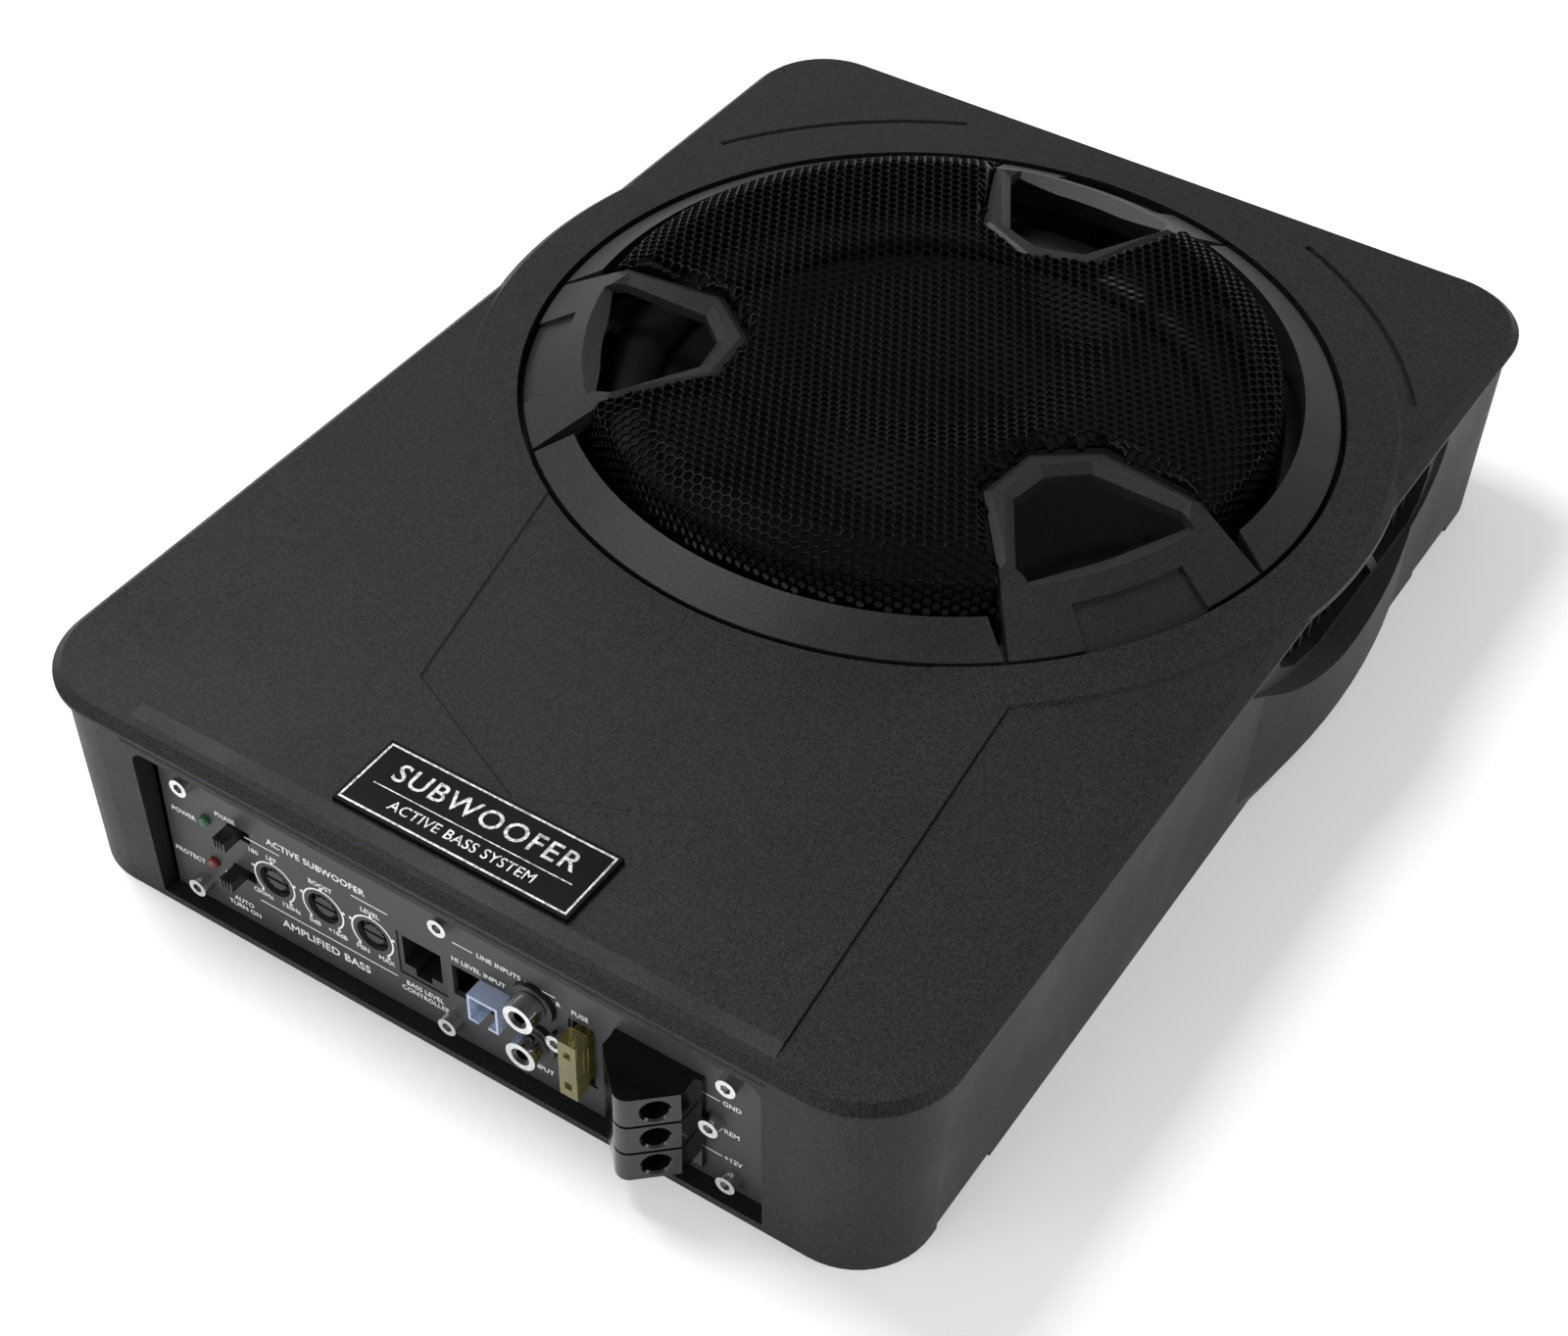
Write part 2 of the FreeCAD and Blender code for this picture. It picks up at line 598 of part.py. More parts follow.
def spider():
    """Corrugated cloth disc from the coil former out to the basket's step."""
    line = [(COIL_R, SPIDER_Z + 0.5)]
    n = 5
    step = (SPIDER_R - 4 - COIL_R - 3) / (2 * n)
    for i in range(2 * n + 1):
        line.append((COIL_R + 3 + i * step, SPIDER_Z + 0.5 + (1.6 if i % 2 else 0.0)))
    line.append((SPIDER_R, SPIDER_Z + 0.5))
    return revolve(sheet_profile(line, 0.5), y=WOOFER_Y)


def magnet():
    return tube(45.0, 25.0, BACK_Z + 4.5, GAP_Z[0], y=WOOFER_Y)


def top_plate():
    return tube(42.0, COIL_R + 1.4, GAP_Z[0], GAP_Z[1], y=WOOFER_Y)


def pole_piece():
    plate = rod(44.0, (0, WOOFER_Y, BACK_Z), 4.5)
    pole = rod(POLE_R, (0, WOOFER_Y, BACK_Z), GAP_Z[1] + 1 - BACK_Z)
    return fuse([plate, pole]).cut(rod(5.0, (0, WOOFER_Y, 0), 40))


def woofer_terminals():
    """Spring terminal strip on the front of the basket."""
    y = WOOFER_Y - 88.0
    base = box(-9, 9, y - 3, y - 1, 35, 44)
    tabs = [box(x - 1.6, x + 1.6, y - 9, y - 3, 41, 41.8) for x in (-5, 5)]
    return fuse([base, box(-5, 5, y - 1, y + 8.5, 39, 41.5)] + tabs)


# ---- control panel ------------------------------------------------------------------
RCA_SCREW = (31.3, 25.5)
SCREW_XZ = [(-79, 44.5), (-79, 9.0), (-1, 44.5), (-1, 9.0), (78, 43.2), (78, 7.8), RCA_SCREW,
            (73.4, 25.5)]
POT_X = (-54.8, -39.7, -24.6)
POT_Z = 23.4
SWITCH_X = -64.6
SWITCH_Z = (34.6, 20.3)
LED_XZ = ((-75.0, 33.4), (-74.4, 18.8))
JACK_X = (-17.0, -2.6)
JACK_Z = (15.4, 30.7)
HEADER_X = (7.6, 16.4)
HEADER_Z = (20.0, 29.0)
RCA_X = 23.6
RCA_Z = (32.2, 18.8)
FUSE_X = 36.8
FUSE_Z = (12.0, 33.0)
POWER_X = (46.3, 68.6)
POWER_Z = (9.0, 38.0)
PANEL_BACK = PANEL_Y + PANEL_T


def along_y(r, x, z, y0, y1):
    return rod(r, (x, y0, z), y1 - y0, (0, 1, 0))


def hex_along_y(r, x, z, y0, y1):
    """Hexagonal prism along Y; r is from the middle to a corner."""
    corners = []
    for i in range(6):
        t = math.radians(60 * i + 30)
        corners.append((x + r * math.cos(t), y0, z + r * math.sin(t)))
    return Part.Face(closed_wire(corners)).extrude(V(0, y1 - y0, 0))


def control_panel():
    plate = box(OPEN_X[0] + 1.3, OPEN_X[1] - 1.0, PANEL_Y, PANEL_BACK, FLOOR_T + 0.3, 56)
    front, back = PANEL_Y - 1, PANEL_BACK + 1
    cuts = [along_y(1.6, x, z, front, back) for x, z in SCREW_XZ]
    cuts += [along_y(4.7, x, POT_Z, front, back) for x in POT_X]
    cuts += [box(SWITCH_X - 3.6, SWITCH_X + 3.6, front, back, z - 1.9, z + 1.9) for z in SWITCH_Z]
    cuts += [along_y(1.6, x, z, front, back) for x, z in LED_XZ]
    cuts += [box(JACK_X[0], JACK_X[1], front, back, *JACK_Z)]
    cuts += [box(HEADER_X[0] - 8.2, HEADER_X[1] + 0.2, front, back, HEADER_Z[0] - 1.4, HEADER_Z[1] + 0.2)]
    cuts += [along_y(6.1, RCA_X, z, front, back) for z in RCA_Z]
    cuts += [box(FUSE_X - 3.8, FUSE_X + 3.8, front, back, *FUSE_Z)]
    cuts += [box(POWER_X[0] - 0.3, POWER_X[1] + 0.3, front, back, POWER_Z[0] - 0.3, POWER_Z[1] + 0.3)]
    return cut(plate, cuts)


def panel_screws():
    out = []
    for x, z in SCREW_XZ:
        head = along_y(2.6, x, z, PANEL_Y - 3.4, PANEL_Y)
        socket = hex_along_y(1.45, x, z, PANEL_Y - 4.0, PANEL_Y - 1.4)
        out.append(fuse([head, along_y(1.6, x, z, PANEL_Y - 0.5, PANEL_BACK + 5.5)]).cut(socket))
    return Part.makeCompound(out)


def panel_nuts():
    """Tapped pillars behind the panel that take its screws; one screw bites into the RCA block."""
    out = []
    for x, z in SCREW_XZ:
        if x != RCA_SCREW[0]:
            pillar = along_y(3.2, x, z, PANEL_BACK, PANEL_BACK + 5.5)
            out.append(pillar.cut(along_y(1.6, x, z, PANEL_Y, PANEL_BACK + 7)))
    return Part.makeCompound(out)


def led(x, z):
    body = along_y(1.5, x, z, PANEL_Y - 0.4, PANEL_BACK + 3)
    dome = Part.makeSphere(1.5, V(x, PANEL_Y - 0.4, z))
    flange = along_y(1.9, x, z, PANEL_BACK + 0.1, PANEL_BACK + 1)
    return fuse([body, dome, flange])


def pot_body(x):
    can = box(x - 4.6, x + 4.6, PANEL_BACK + 0.5, PANEL_BACK + 8, POT_Z - 5.5, POT_Z + 6)
    foot = box(-0.4, 0.4, PANEL_BACK + 7, PANEL_BACK + 7.8, BOARD_Z + BOARD_T, POT_Z - 5.5)
    feet = [moved(foot, x + d) for d in (-2.5, 0, 2.5)]
    return fuse([can] + feet).cut(along_y(3.2, x, POT_Z, PANEL_Y, PANEL_BACK + 5))


def pot_knob(x):
    """Recessed knurled shaft with a screwdriver slot."""
    shaft = along_y(3.1, x, POT_Z, PANEL_Y + 0.6, PANEL_BACK + 5)
    notches = []
    for i in range(12):
        t = math.radians(30 * i)
        notch_x, notch_z = x + 3.1 * math.cos(t), POT_Z + 3.1 * math.sin(t)
        notches.append(along_y(0.35, notch_x, notch_z, PANEL_Y, PANEL_Y + 2))
    slit = box(x - 4, x + 4, PANEL_Y, PANEL_Y + 1.7, POT_Z - 0.45, POT_Z + 0.45)
    return cut(shaft, notches + [slit])


def switch_body(z):
    x = SWITCH_X
    can = box(x - 5.0, x + 5.0, PANEL_BACK + 0.2, PANEL_BACK + 6, z - 3, z + 3)
    pins = [box(x + d - 0.4, x + d + 0.4, PANEL_BACK + 6, PANEL_BACK + 9, z - 0.4, z + 0.4)
            for d in (-3, 0, 3)]
    return fuse([can] + pins).cut(box(x - 4.4, x + 4.4, PANEL_Y, PANEL_BACK + 3, z - 1.7, z + 1.7))


def switch_lever(z):
    """Black ribbed slider, resting at the left end of its slot."""
    x = SWITCH_X - 1.3
    foot = box(x - 3.0, x + 3.0, PANEL_BACK + 1.0, PANEL_BACK + 2.6, z - 1.5, z + 1.5)
    stem = box(x - 1.9, x + 1.9, PANEL_Y - 5.6, PANEL_BACK + 1.2, z - 1.5, z + 1.5)
    ribs = [box(x + d - 0.3, x + d + 0.3, PANEL_Y - 7, PANEL_Y - 5.0, z - 2, z + 2)
            for d in (-1.0, 0.0, 1.0)]
    return cut(fuse([foot, stem]), ribs)


def remote_socket():
    """Modular socket for the wired bass remote, open to the front."""
    x0, x1 = JACK_X[0] + 0.2, JACK_X[1] - 0.2
    z0, z1 = JACK_Z[0] + 0.2, JACK_Z[1] - 0.2
    body = box(x0, x1, PANEL_Y + 0.3, PANEL_Y + 15, z0, z1)
    mouth = box(x0 + 1.3, x1 - 1.3, PANEL_Y, PANEL_Y + 11, z0 + 3.6, z1 - 1.2)
    latch = box((x0 + x1) / 2 - 2.4, (x0 + x1) / 2 + 2.4, PANEL_Y, PANEL_Y + 11, z0 + 1.2, z0 + 4)
    return body.cut(mouth).cut(latch)


def remote_contacts():
    mid = sum(JACK_X) / 2
    wires = []
    for i in range(6):
        x = mid + (i - 2.5) * 1.1
        wires.append(box(x - 0.2, x + 0.2, PANEL_Y + 3, PANEL_Y + 10.9, JACK_Z[1] - 2.4, JACK_Z[1] - 1.9))
    bar = box(mid - 3.6, mid + 3.6, PANEL_Y + 10.2, PANEL_Y + 10.9, JACK_Z[1] - 3.0, JACK_Z[1] - 1.9)
    return fuse([bar] + wires)


def input_header():
    """Clear nylon header for the high level input, standing proud of the panel."""
    x0, x1 = HEADER_X
    z0, z1 = HEADER_Z
    body = box(x0, x1, PANEL_Y - 5, PANEL_Y + 9, z0, z1)
    mouth = box(x0 + 0.7, x1 - 0.7, PANEL_Y - 6, PANEL_Y + 6, z0 + 0.7, z1 - 0.9)
    notch = box(x0 + 3, x1 - 3, PANEL_Y - 6, PANEL_Y + 2, z0 - 1, z0 + 2)
    return cut(body, [mouth, notch, header_pins()])


def header_pins():
    x0, x1 = HEADER_X
    pins = [box(x - 0.35, x + 0.35, PANEL_Y - 1.5, PANEL_Y + 12, z - 0.35, z + 0.35)
            for x in (x0 + 2.9, x1 - 2.9) for z in (HEADER_Z[0] + 2.9, HEADER_Z[1] - 2.9)]
    return Part.makeCompound(pins)


RCA_R = 4.15             # plated barrel that a phono plug slides over
RCA_SHANK_R = 3.5        # its shank, inside the block
RCA_INSERT_R = 2.6


def rca_block():
    body = box(RCA_X - 6.5, RCA_X + 6.5, PANEL_BACK + 0.1, PANEL_BACK + 11, BOARD_Z + BOARD_T, RCA_Z[0] + 6.5)
    sx, sz = RCA_SCREW
    lug = box(RCA_X + 6, sx + 1.8, PANEL_BACK + 0.1, PANEL_BACK + 6.5, sz - 3, sz + 3)
    noses = [along_y(5.9, RCA_X, z, PANEL_Y - 1.4, PANEL_BACK + 1) for z in RCA_Z]
    bores = [along_y(RCA_SHANK_R, RCA_X, z, PANEL_Y - 3, PANEL_BACK + 6) for z in RCA_Z]
    return cut(fuse([body, lug] + noses), bores + [along_y(1.6, sx, sz, PANEL_Y, PANEL_BACK + 6)])


def rca_shells():
    out = []
    for z in RCA_Z:
        barrel = along_y(RCA_R, RCA_X, z, PANEL_Y - 6.5, PANEL_Y - 1.6)
        shank = along_y(RCA_SHANK_R, RCA_X, z, PANEL_Y - 1.7, PANEL_BACK + 6)
        out.append(fuse([barrel, shank]).cut(along_y(RCA_INSERT_R, RCA_X, z, PANEL_Y - 8, PANEL_BACK + 8)))
    return Part.makeCompound(out)


def rca_inserts():
    out = []
    for z in RCA_Z:
        plug = along_y(RCA_INSERT_R, RCA_X, z, PANEL_Y - 5.8, PANEL_BACK + 6)
        out.append(plug.cut(along_y(1.65, RCA_X, z, PANEL_Y - 8, PANEL_BACK + 4)))
    return Part.makeCompound(out)


def fuse_holder():
    body = box(FUSE_X - 3.6, FUSE_X + 3.6, PANEL_Y + 0.4, PANEL_BACK + 14, FUSE_Z[0] + 0.2, FUSE_Z[1] - 0.2)
    mouth = box(FUSE_X - 2.8, FUSE_X + 2.8, PANEL_Y, PANEL_Y + 5.2, FUSE_Z[0] + 0.5, FUSE_Z[1] - 0.5)
    mid = sum(FUSE_Z) / 2
    slits = [box(FUSE_X - 0.7, FUSE_X + 0.7, PANEL_Y, PANEL_Y + 13.2, mid + d - 2.8, mid + d + 2.8)
             for d in (-6.6, 6.6)]
    return cut(body, [mouth] + slits)


def blade_fuse():
    """Clear plastic body of the blade fuse, ribbed on its sides."""
    mid = sum(FUSE_Z) / 2
    head = box(FUSE_X - 2.5, FUSE_X + 2.5, PANEL_Y - 6, PANEL_Y - 1.2, mid - 9.5, mid + 9.5)
    neck = box(FUSE_X - 1.9, FUSE_X + 1.9, PANEL_Y - 1.3, PANEL_Y + 4.8, mid - 8.6, mid + 8.6)
    windows = [box(FUSE_X - 1.0, FUSE_X + 1.0, PANEL_Y - 7, PANEL_Y - 5, mid + d - 1.2, mid + d + 1.2)
               for d in (-5.5, 5.5)]
    slits = [box(FUSE_X - 0.35, FUSE_X + 0.35, PANEL_Y - 4.5, PANEL_Y + 6, mid + d - 2.6, mid + d + 2.6)
             for d in (-6.6, 6.6)]
    return cut(fuse([head, neck]), windows + slits)


def fuse_blades():
    mid = sum(FUSE_Z) / 2
    blades = [box(FUSE_X - 0.34, FUSE_X + 0.34, PANEL_Y - 4.4, PANEL_Y + 12.8, mid + d - 2.5, mid + d + 2.5)
              for d in (-6.6, 6.6)]
    return Part.makeCompound(blades)


NOSE_R = 3.4
NOSE = (POWER_X[0] + 11.6, POWER_Y + NOSE_R)
POWER_LEFT = (POWER_X[0], PANEL_Y - 5.0)      # front end of the block's left side
POWER_RIGHT = (POWER_X[1], PANEL_Y - 6.6)     # right end of its wire face
POWER_PITCH = (POWER_Z[1] - POWER_Z[0]) / 3
WIRE_ZS = [POWER_Z[0] + POWER_PITCH * (i + 0.5) for i in range(3)]
BORE_R = 3.2


def touch_angle(p, side):
    """Angle, in degrees, at which the line from p touches the round nose."""
    dx, dy = p[0] - NOSE[0], p[1] - NOSE[1]
    return math.degrees(math.atan2(dy, dx) + side * math.acos(NOSE_R / math.hypot(dx, dy)))


def on_nose(angle):
    t = math.radians(angle)
    return (NOSE[0] + NOSE_R * math.cos(t), NOSE[1] + NOSE_R * math.sin(t))


def power_plan():
    """Plan of the power terminal block: a round nose between a slanted side and the wire face."""
    x0, x1 = POWER_X
    start, end = touch_angle(POWER_LEFT, 1), touch_angle(POWER_RIGHT, -1) + 360
    steps = 5
    nose = [on_nose(start + (270 - start) * i / steps) for i in range(steps)]
    nose += [on_nose(270 + (end - 270) * i / steps) for i in range(steps + 1)]
    return [(x0, PANEL_BACK + 6.5), POWER_LEFT] + nose + [POWER_RIGHT, (x1, PANEL_BACK + 6.5)]


def face_axis(a, b):
    """Middle of the upright face from a to b, and the direction square into the block."""
    length = math.hypot(b[0] - a[0], b[1] - a[1])
    inward = (-(b[1] - a[1]) / length, (b[0] - a[0]) / length)
    return ((a[0] + b[0]) / 2, (a[1] + b[1]) / 2), inward


def wire_axis():
    return face_axis(on_nose(touch_angle(POWER_RIGHT, -1)), POWER_RIGHT)


def screw_axis():
    return face_axis(POWER_LEFT, on_nose(touch_angle(POWER_LEFT, 1)))


def bore_into(face, r, depth, z):
    """Round hole of the given depth, square into a face of the block."""
    (mx, my), (ix, iy) = face
    return rod(r, (mx - ix, my - iy, z), depth + 1.0, (ix, iy, 0))


def power_terminal():
    """Black block with three wire entries, grooves between them and a flange on the panel."""
    body = prism(power_plan(), *POWER_Z)
    groove_plan = inset_polygon(power_plan(), 0.8)
    cuts = []
    for i in (1, 2):
        z = POWER_Z[0] + POWER_PITCH * i
        around = box(POWER_X[0] - 1, POWER_X[1] + 1, POWER_Y - 1, PANEL_Y - 1.6, z - 0.4, z + 0.4)
        cuts.append(around.cut(prism(groove_plan, z - 1, z + 1)))
    (mx, my), (ix, iy) = wire_axis()
    for z in WIRE_ZS:
        rim = Part.makeCone(BORE_R + 0.5, BORE_R, 0.5, V(mx, my, z), V(ix, iy, 0))
        cuts += [bore_into(wire_axis(), BORE_R, 11.0, z), rim, bore_into(screw_axis(), 2.4, 9.0, z)]
    flange = box(POWER_X[0], POWER_X[1] + 2.0, PANEL_Y - 1.6, PANEL_Y, POWER_Z[0] - 2.2, POWER_Z[1] + 0.6)
    return cut(fuse([body, flange]), cuts)


def clamp_screw(z):
    (x, y), (sx, sy) = screw_axis()
    start = (x + sx * 0.6, y + sy * 0.6, z)
    screw = rod(2.3, start, 4.2, (sx, sy, 0))
    slit = Part.makeBox(1.2, 6, 0.8, V(-0.1, -3, -0.4))
    slit.rotate(V(0, 0, 0), V(0, 0, 1), math.degrees(math.atan2(sy, sx)))
    slit.translate(V(*start))
    return screw.cut(slit)


# ---- amplifier ----------------------------------------------------------------------
BOARD = (-86.0, 86.0, -158.5, -74.6)


def main_board():
    x0, x1, y0, y1 = BOARD
    board = box(x0, x1, y0, y1, BOARD_Z, BOARD_Z + BOARD_T)
    holes = [rod(1.7, (x, y, BOARD_Z - 1), 4) for x, y in board_screw_places()]
    return cut(board, holes)


def board_screw_places():
    x0, x1, y0, y1 = BOARD
    return [(x, y) for x in (x0 + 5, x1 - 5) for y in (y0 + 12, y1 - 5)]


def board_standoffs():
    return Part.makeCompound([tube(3.2, 1.5, FLOOR_T, BOARD_Z, x, y) for x, y in board_screw_places()])


def board_screws():
    top = BOARD_Z + BOARD_T
    return Part.makeCompound([fuse([rod(2.9, (x, y, top), 1.8),
                                    rod(1.5, (x, y, FLOOR_T + 1), top - FLOOR_T)])
                              for x, y in board_screw_places()])


def capacitors():
    top = BOARD_Z + BOARD_T
    cans = []
    for x in (-30, -11, 8, 27):
        can = rod(8, (x, -96, top), 28)
        groove = tube(9, 7.5, top + 3, top + 4, x, -96)
        cans.append(can.cut(groove))
    return Part.makeCompound(cans)


def toroids():
    """Two wound rings standing on the board."""
    out = []
    for x in (-62, 60):
        ring = Part.makeTorus(9.5, 4.2, V(x, -125, BOARD_Z + BOARD_T + 4.3))
        out.append(ring)
    return Part.makeCompound(out)


def power_transistors():
    top = BOARD_Z + BOARD_T
    out = []
    for i in range(6):
        x = -50 + 20 * i
        body = box(x - 5, x + 5, -78.6, -74.2, top + 4, top + 20)
        legs = [box(x + d - 0.5, x + d + 0.5, -76.8, -76.2, top, top + 4) for d in (-2.5, 0, 2.5)]
        out.append(fuse([body] + legs))
    return Part.makeCompound(out)


def heat_bar():
    """Aluminium bar that carries heat from the transistors down into the tray."""
    upright = box(-60, 60, -74.2, -70.2, FLOOR_T, 32)
    foot = box(-60, 60, -70.2, -64.5, FLOOR_T, 4.2)
    return fuse([upright, foot])


def speaker_leads():
    """Two insulated wires from the board to the woofer's terminal strip."""
    out = []
    for x in (-5.0, 5.0):
        y_tab = WOOFER_Y - 88.0 - 7.6
        low = BOARD_Z + BOARD_T
        pts = [V(x, -84, low), V(x, -84, 36), V(x, y_tab - 9, 46.0), V(x, y_tab, 43.0)]
        r = 4.0
        path = bent_path(pts, r)
        profile = Part.Wire([Part.Circle(pts[0], V(0, 0, 1), 0.9).toShape()])
        out.append(path.makePipeShell([profile], True, True))
    return Part.makeCompound(out)


def bent_path(points, r):
    """Straight runs joined by tangent arcs of radius r."""
    edges = []
    start = points[0]
    for a, b, c in zip(points, points[1:], points[2:]):
        u = (a - b).normalize()
        w = (c - b).normalize()
        half = u.getAngle(w) / 2
        d = r / math.tan(half)
        p, q = b + u * d, b + w * d
        mid = (u + w).normalize()
        centre = b + mid * (r / math.sin(half))
        m = centre - mid * r
        edges += [Part.LineSegment(start, p).toShape(), Part.Arc(p, m, q).toShape()]
        start = q
    edges.append(Part.LineSegment(start, points[-1]).toShape())
    return Part.Wire(edges)


# ---- badge --------------------------------------------------------------------------
BADGE = (-33.0, 33.0, -165.2, -143.6)


def badge():
    x0, x1, y0, y1 = BADGE
    z = COVER_TOP + RAISED
    return box(x0, x1, y0, y1, z, z + 1.4)


def build():
    nodes = {
        "top_cover": top_cover(),
        "lower_tray": lower_tray(),
        "case_gasket": case_gasket(),
        "case_screws": case_screws(),
        "mount_inserts": mount_inserts(),
        "vent_screens": Part.makeCompound([vent_screen(), mirrored(vent_screen())]),
        "badge_plate": badge(),
        "speaker_ring": speaker_ring(),
        "ring_screws": ring_screws(),
        "grille": grille(),
        "woofer_basket": woofer_basket(),
        "woofer_gasket": woofer_gasket(),
        "woofer_screws": woofer_screws(),
        "woofer_terminals": woofer_terminals(),
        "surround": surround(),
        "cone": cone(),
        "dust_cap": dust_cap(),
        "voice_coil_former": voice_coil_former(),
        "voice_coil": voice_coil(),
        "spider": spider(),
        "magnet": magnet(),
        "top_plate": top_plate(),
        "pole_piece": pole_piece(),
        "control_panel": control_panel(),
        "panel_screws": panel_screws(),
        "panel_nuts": panel_nuts(),
        "power_led": led(*LED_XZ[0]),
        "protect_led": led(*LED_XZ[1]),
        "phase_switch": switch_body(SWITCH_Z[0]),
        "phase_lever": switch_lever(SWITCH_Z[0]),
        "auto_switch": switch_body(SWITCH_Z[1]),
        "auto_lever": switch_lever(SWITCH_Z[1]),
        "remote_socket": remote_socket(),
        "remote_contacts": remote_contacts(),
        "input_header": input_header(),
        "header_pins": header_pins(),
        "rca_block": rca_block(),
        "rca_shells": rca_shells(),
        "rca_inserts": rca_inserts(),
        "fuse_holder": fuse_holder(),
        "blade_fuse": blade_fuse(),
        "fuse_blades": fuse_blades(),
        "power_terminal": power_terminal(),
        "main_board": main_board(),
        "board_standoffs": board_standoffs(),
        "board_screws": board_screws(),
        "capacitors": capacitors(),
        "toroids": toroids(),
        "power_transistors": power_transistors(),
        "heat_bar": heat_bar(),
        "speaker_leads": speaker_leads(),
    }
    for name, x in zip(("cutoff", "boost", "level"), POT_X):
        nodes[name + "_pot"] = pot_body(x)
        nodes[name + "_knob"] = pot_knob(x)
    return nodes


os.makedirs("parts", exist_ok=True)
NODES = build()
CLAMPS = {"clamp_screw_%d" % (i + 1): clamp_screw(z) for i, z in enumerate(WIRE_ZS)}
NODES.update(CLAMPS)
for node_name, node_shape in NODES.items():
    save(node_name, node_shape)
print(len(NODES), "nodes")
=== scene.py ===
"""Looks of a powered under-seat car subwoofer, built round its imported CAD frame."""
import json
import math

import bpy
from mathutils import Matrix, Vector
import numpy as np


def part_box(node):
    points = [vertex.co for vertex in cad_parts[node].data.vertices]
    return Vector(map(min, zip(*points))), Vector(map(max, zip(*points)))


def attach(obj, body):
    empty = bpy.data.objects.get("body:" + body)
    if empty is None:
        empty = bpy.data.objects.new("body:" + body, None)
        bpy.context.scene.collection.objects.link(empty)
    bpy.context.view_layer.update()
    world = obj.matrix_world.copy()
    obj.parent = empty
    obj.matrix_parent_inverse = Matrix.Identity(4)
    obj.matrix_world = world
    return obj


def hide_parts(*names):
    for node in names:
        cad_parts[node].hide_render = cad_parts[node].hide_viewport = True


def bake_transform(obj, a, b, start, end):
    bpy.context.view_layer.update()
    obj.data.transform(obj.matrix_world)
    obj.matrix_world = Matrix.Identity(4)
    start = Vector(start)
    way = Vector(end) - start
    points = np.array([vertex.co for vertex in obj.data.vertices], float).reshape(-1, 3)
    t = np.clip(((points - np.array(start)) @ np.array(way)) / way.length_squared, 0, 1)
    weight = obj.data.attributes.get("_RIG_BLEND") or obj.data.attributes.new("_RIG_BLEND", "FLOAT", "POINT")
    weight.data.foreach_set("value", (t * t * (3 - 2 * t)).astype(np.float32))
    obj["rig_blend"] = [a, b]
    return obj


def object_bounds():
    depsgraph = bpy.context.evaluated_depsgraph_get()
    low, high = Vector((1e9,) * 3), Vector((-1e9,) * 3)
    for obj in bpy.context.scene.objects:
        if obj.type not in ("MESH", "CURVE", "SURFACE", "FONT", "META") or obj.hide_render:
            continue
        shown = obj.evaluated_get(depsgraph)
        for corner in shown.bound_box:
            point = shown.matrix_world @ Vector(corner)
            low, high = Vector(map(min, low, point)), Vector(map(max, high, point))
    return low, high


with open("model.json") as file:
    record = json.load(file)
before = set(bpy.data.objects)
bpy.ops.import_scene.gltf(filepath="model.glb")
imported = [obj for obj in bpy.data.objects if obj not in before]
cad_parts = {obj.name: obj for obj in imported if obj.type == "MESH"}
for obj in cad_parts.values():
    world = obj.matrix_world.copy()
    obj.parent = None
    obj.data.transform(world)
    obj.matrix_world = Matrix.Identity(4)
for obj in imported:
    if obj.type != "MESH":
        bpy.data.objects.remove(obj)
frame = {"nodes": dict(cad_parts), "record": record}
cad_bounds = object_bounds()

MM = 0.001
CASE = "case"
MOTION = "woofer_motion"


# ---- places taken from the frame ------------------------------------------------------
def middle(node):
    low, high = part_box(node)
    return (low + high) / 2


RING = middle("speaker_ring")          # the woofer's axis
PANEL_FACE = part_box("control_panel")[0].y          # front of the control panel
BADGE_LOW, BADGE_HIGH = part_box("badge_plate")
GRILLE_LOW, GRILLE_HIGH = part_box("grille")

GRILLE_TOP = GRILLE_HIGH.z / MM         # the grille's shape is in mm from here on
GRILLE_FOOT = GRILLE_LOW.z / MM
GRILLE_PITCH = 2.95
GRILLE_CELL = GRILLE_PITCH / math.sqrt(3)
GRILLE_HOLE = 0.74                     # hole as a share of its cell
GRILLE_SHEET = 0.9
HOLE_ROLL = 0.16                       # the punched holes' rims are rolled in by this
LOOP_ANGLES = (90.0, 210.0, 330.0)


# ---- materials ------------------------------------------------------------------------
def new_material(name):
    mat = bpy.data.materials.new(name)
    mat.use_nodes = True
    tree = mat.node_tree
    tree.nodes.clear()
    out = tree.nodes.new("ShaderNodeOutputMaterial")
    shader = tree.nodes.new("ShaderNodeBsdfPrincipled")
    tree.links.new(shader.outputs["BSDF"], out.inputs["Surface"])
    return mat, tree, shader


def noise(tree, scale, detail=3.0, roughness=0.5):
    place = tree.nodes.new("ShaderNodeTexCoord")
    tex = tree.nodes.new("ShaderNodeTexNoise")
    tex.inputs["Scale"].default_value = scale
    tex.inputs["Detail"].default_value = detail
    tex.inputs["Roughness"].default_value = roughness
    tree.links.new(place.outputs["Object"], tex.inputs["Vector"])
    return tex.outputs["Fac"]


def ramp(tree, value, low, high, low_colour, high_colour):
    """Colour that goes from one to the other as value goes from low to high."""
    node = tree.nodes.new("ShaderNodeValToRGB")
    node.color_ramp.elements[0].position = low
    node.color_ramp.elements[0].color = (*low_colour, 1)
    node.color_ramp.elements[1].position = high
    node.color_ramp.elements[1].color = (*high_colour, 1)
    tree.links.new(value, node.inputs["Fac"])
    return node.outputs["Color"]


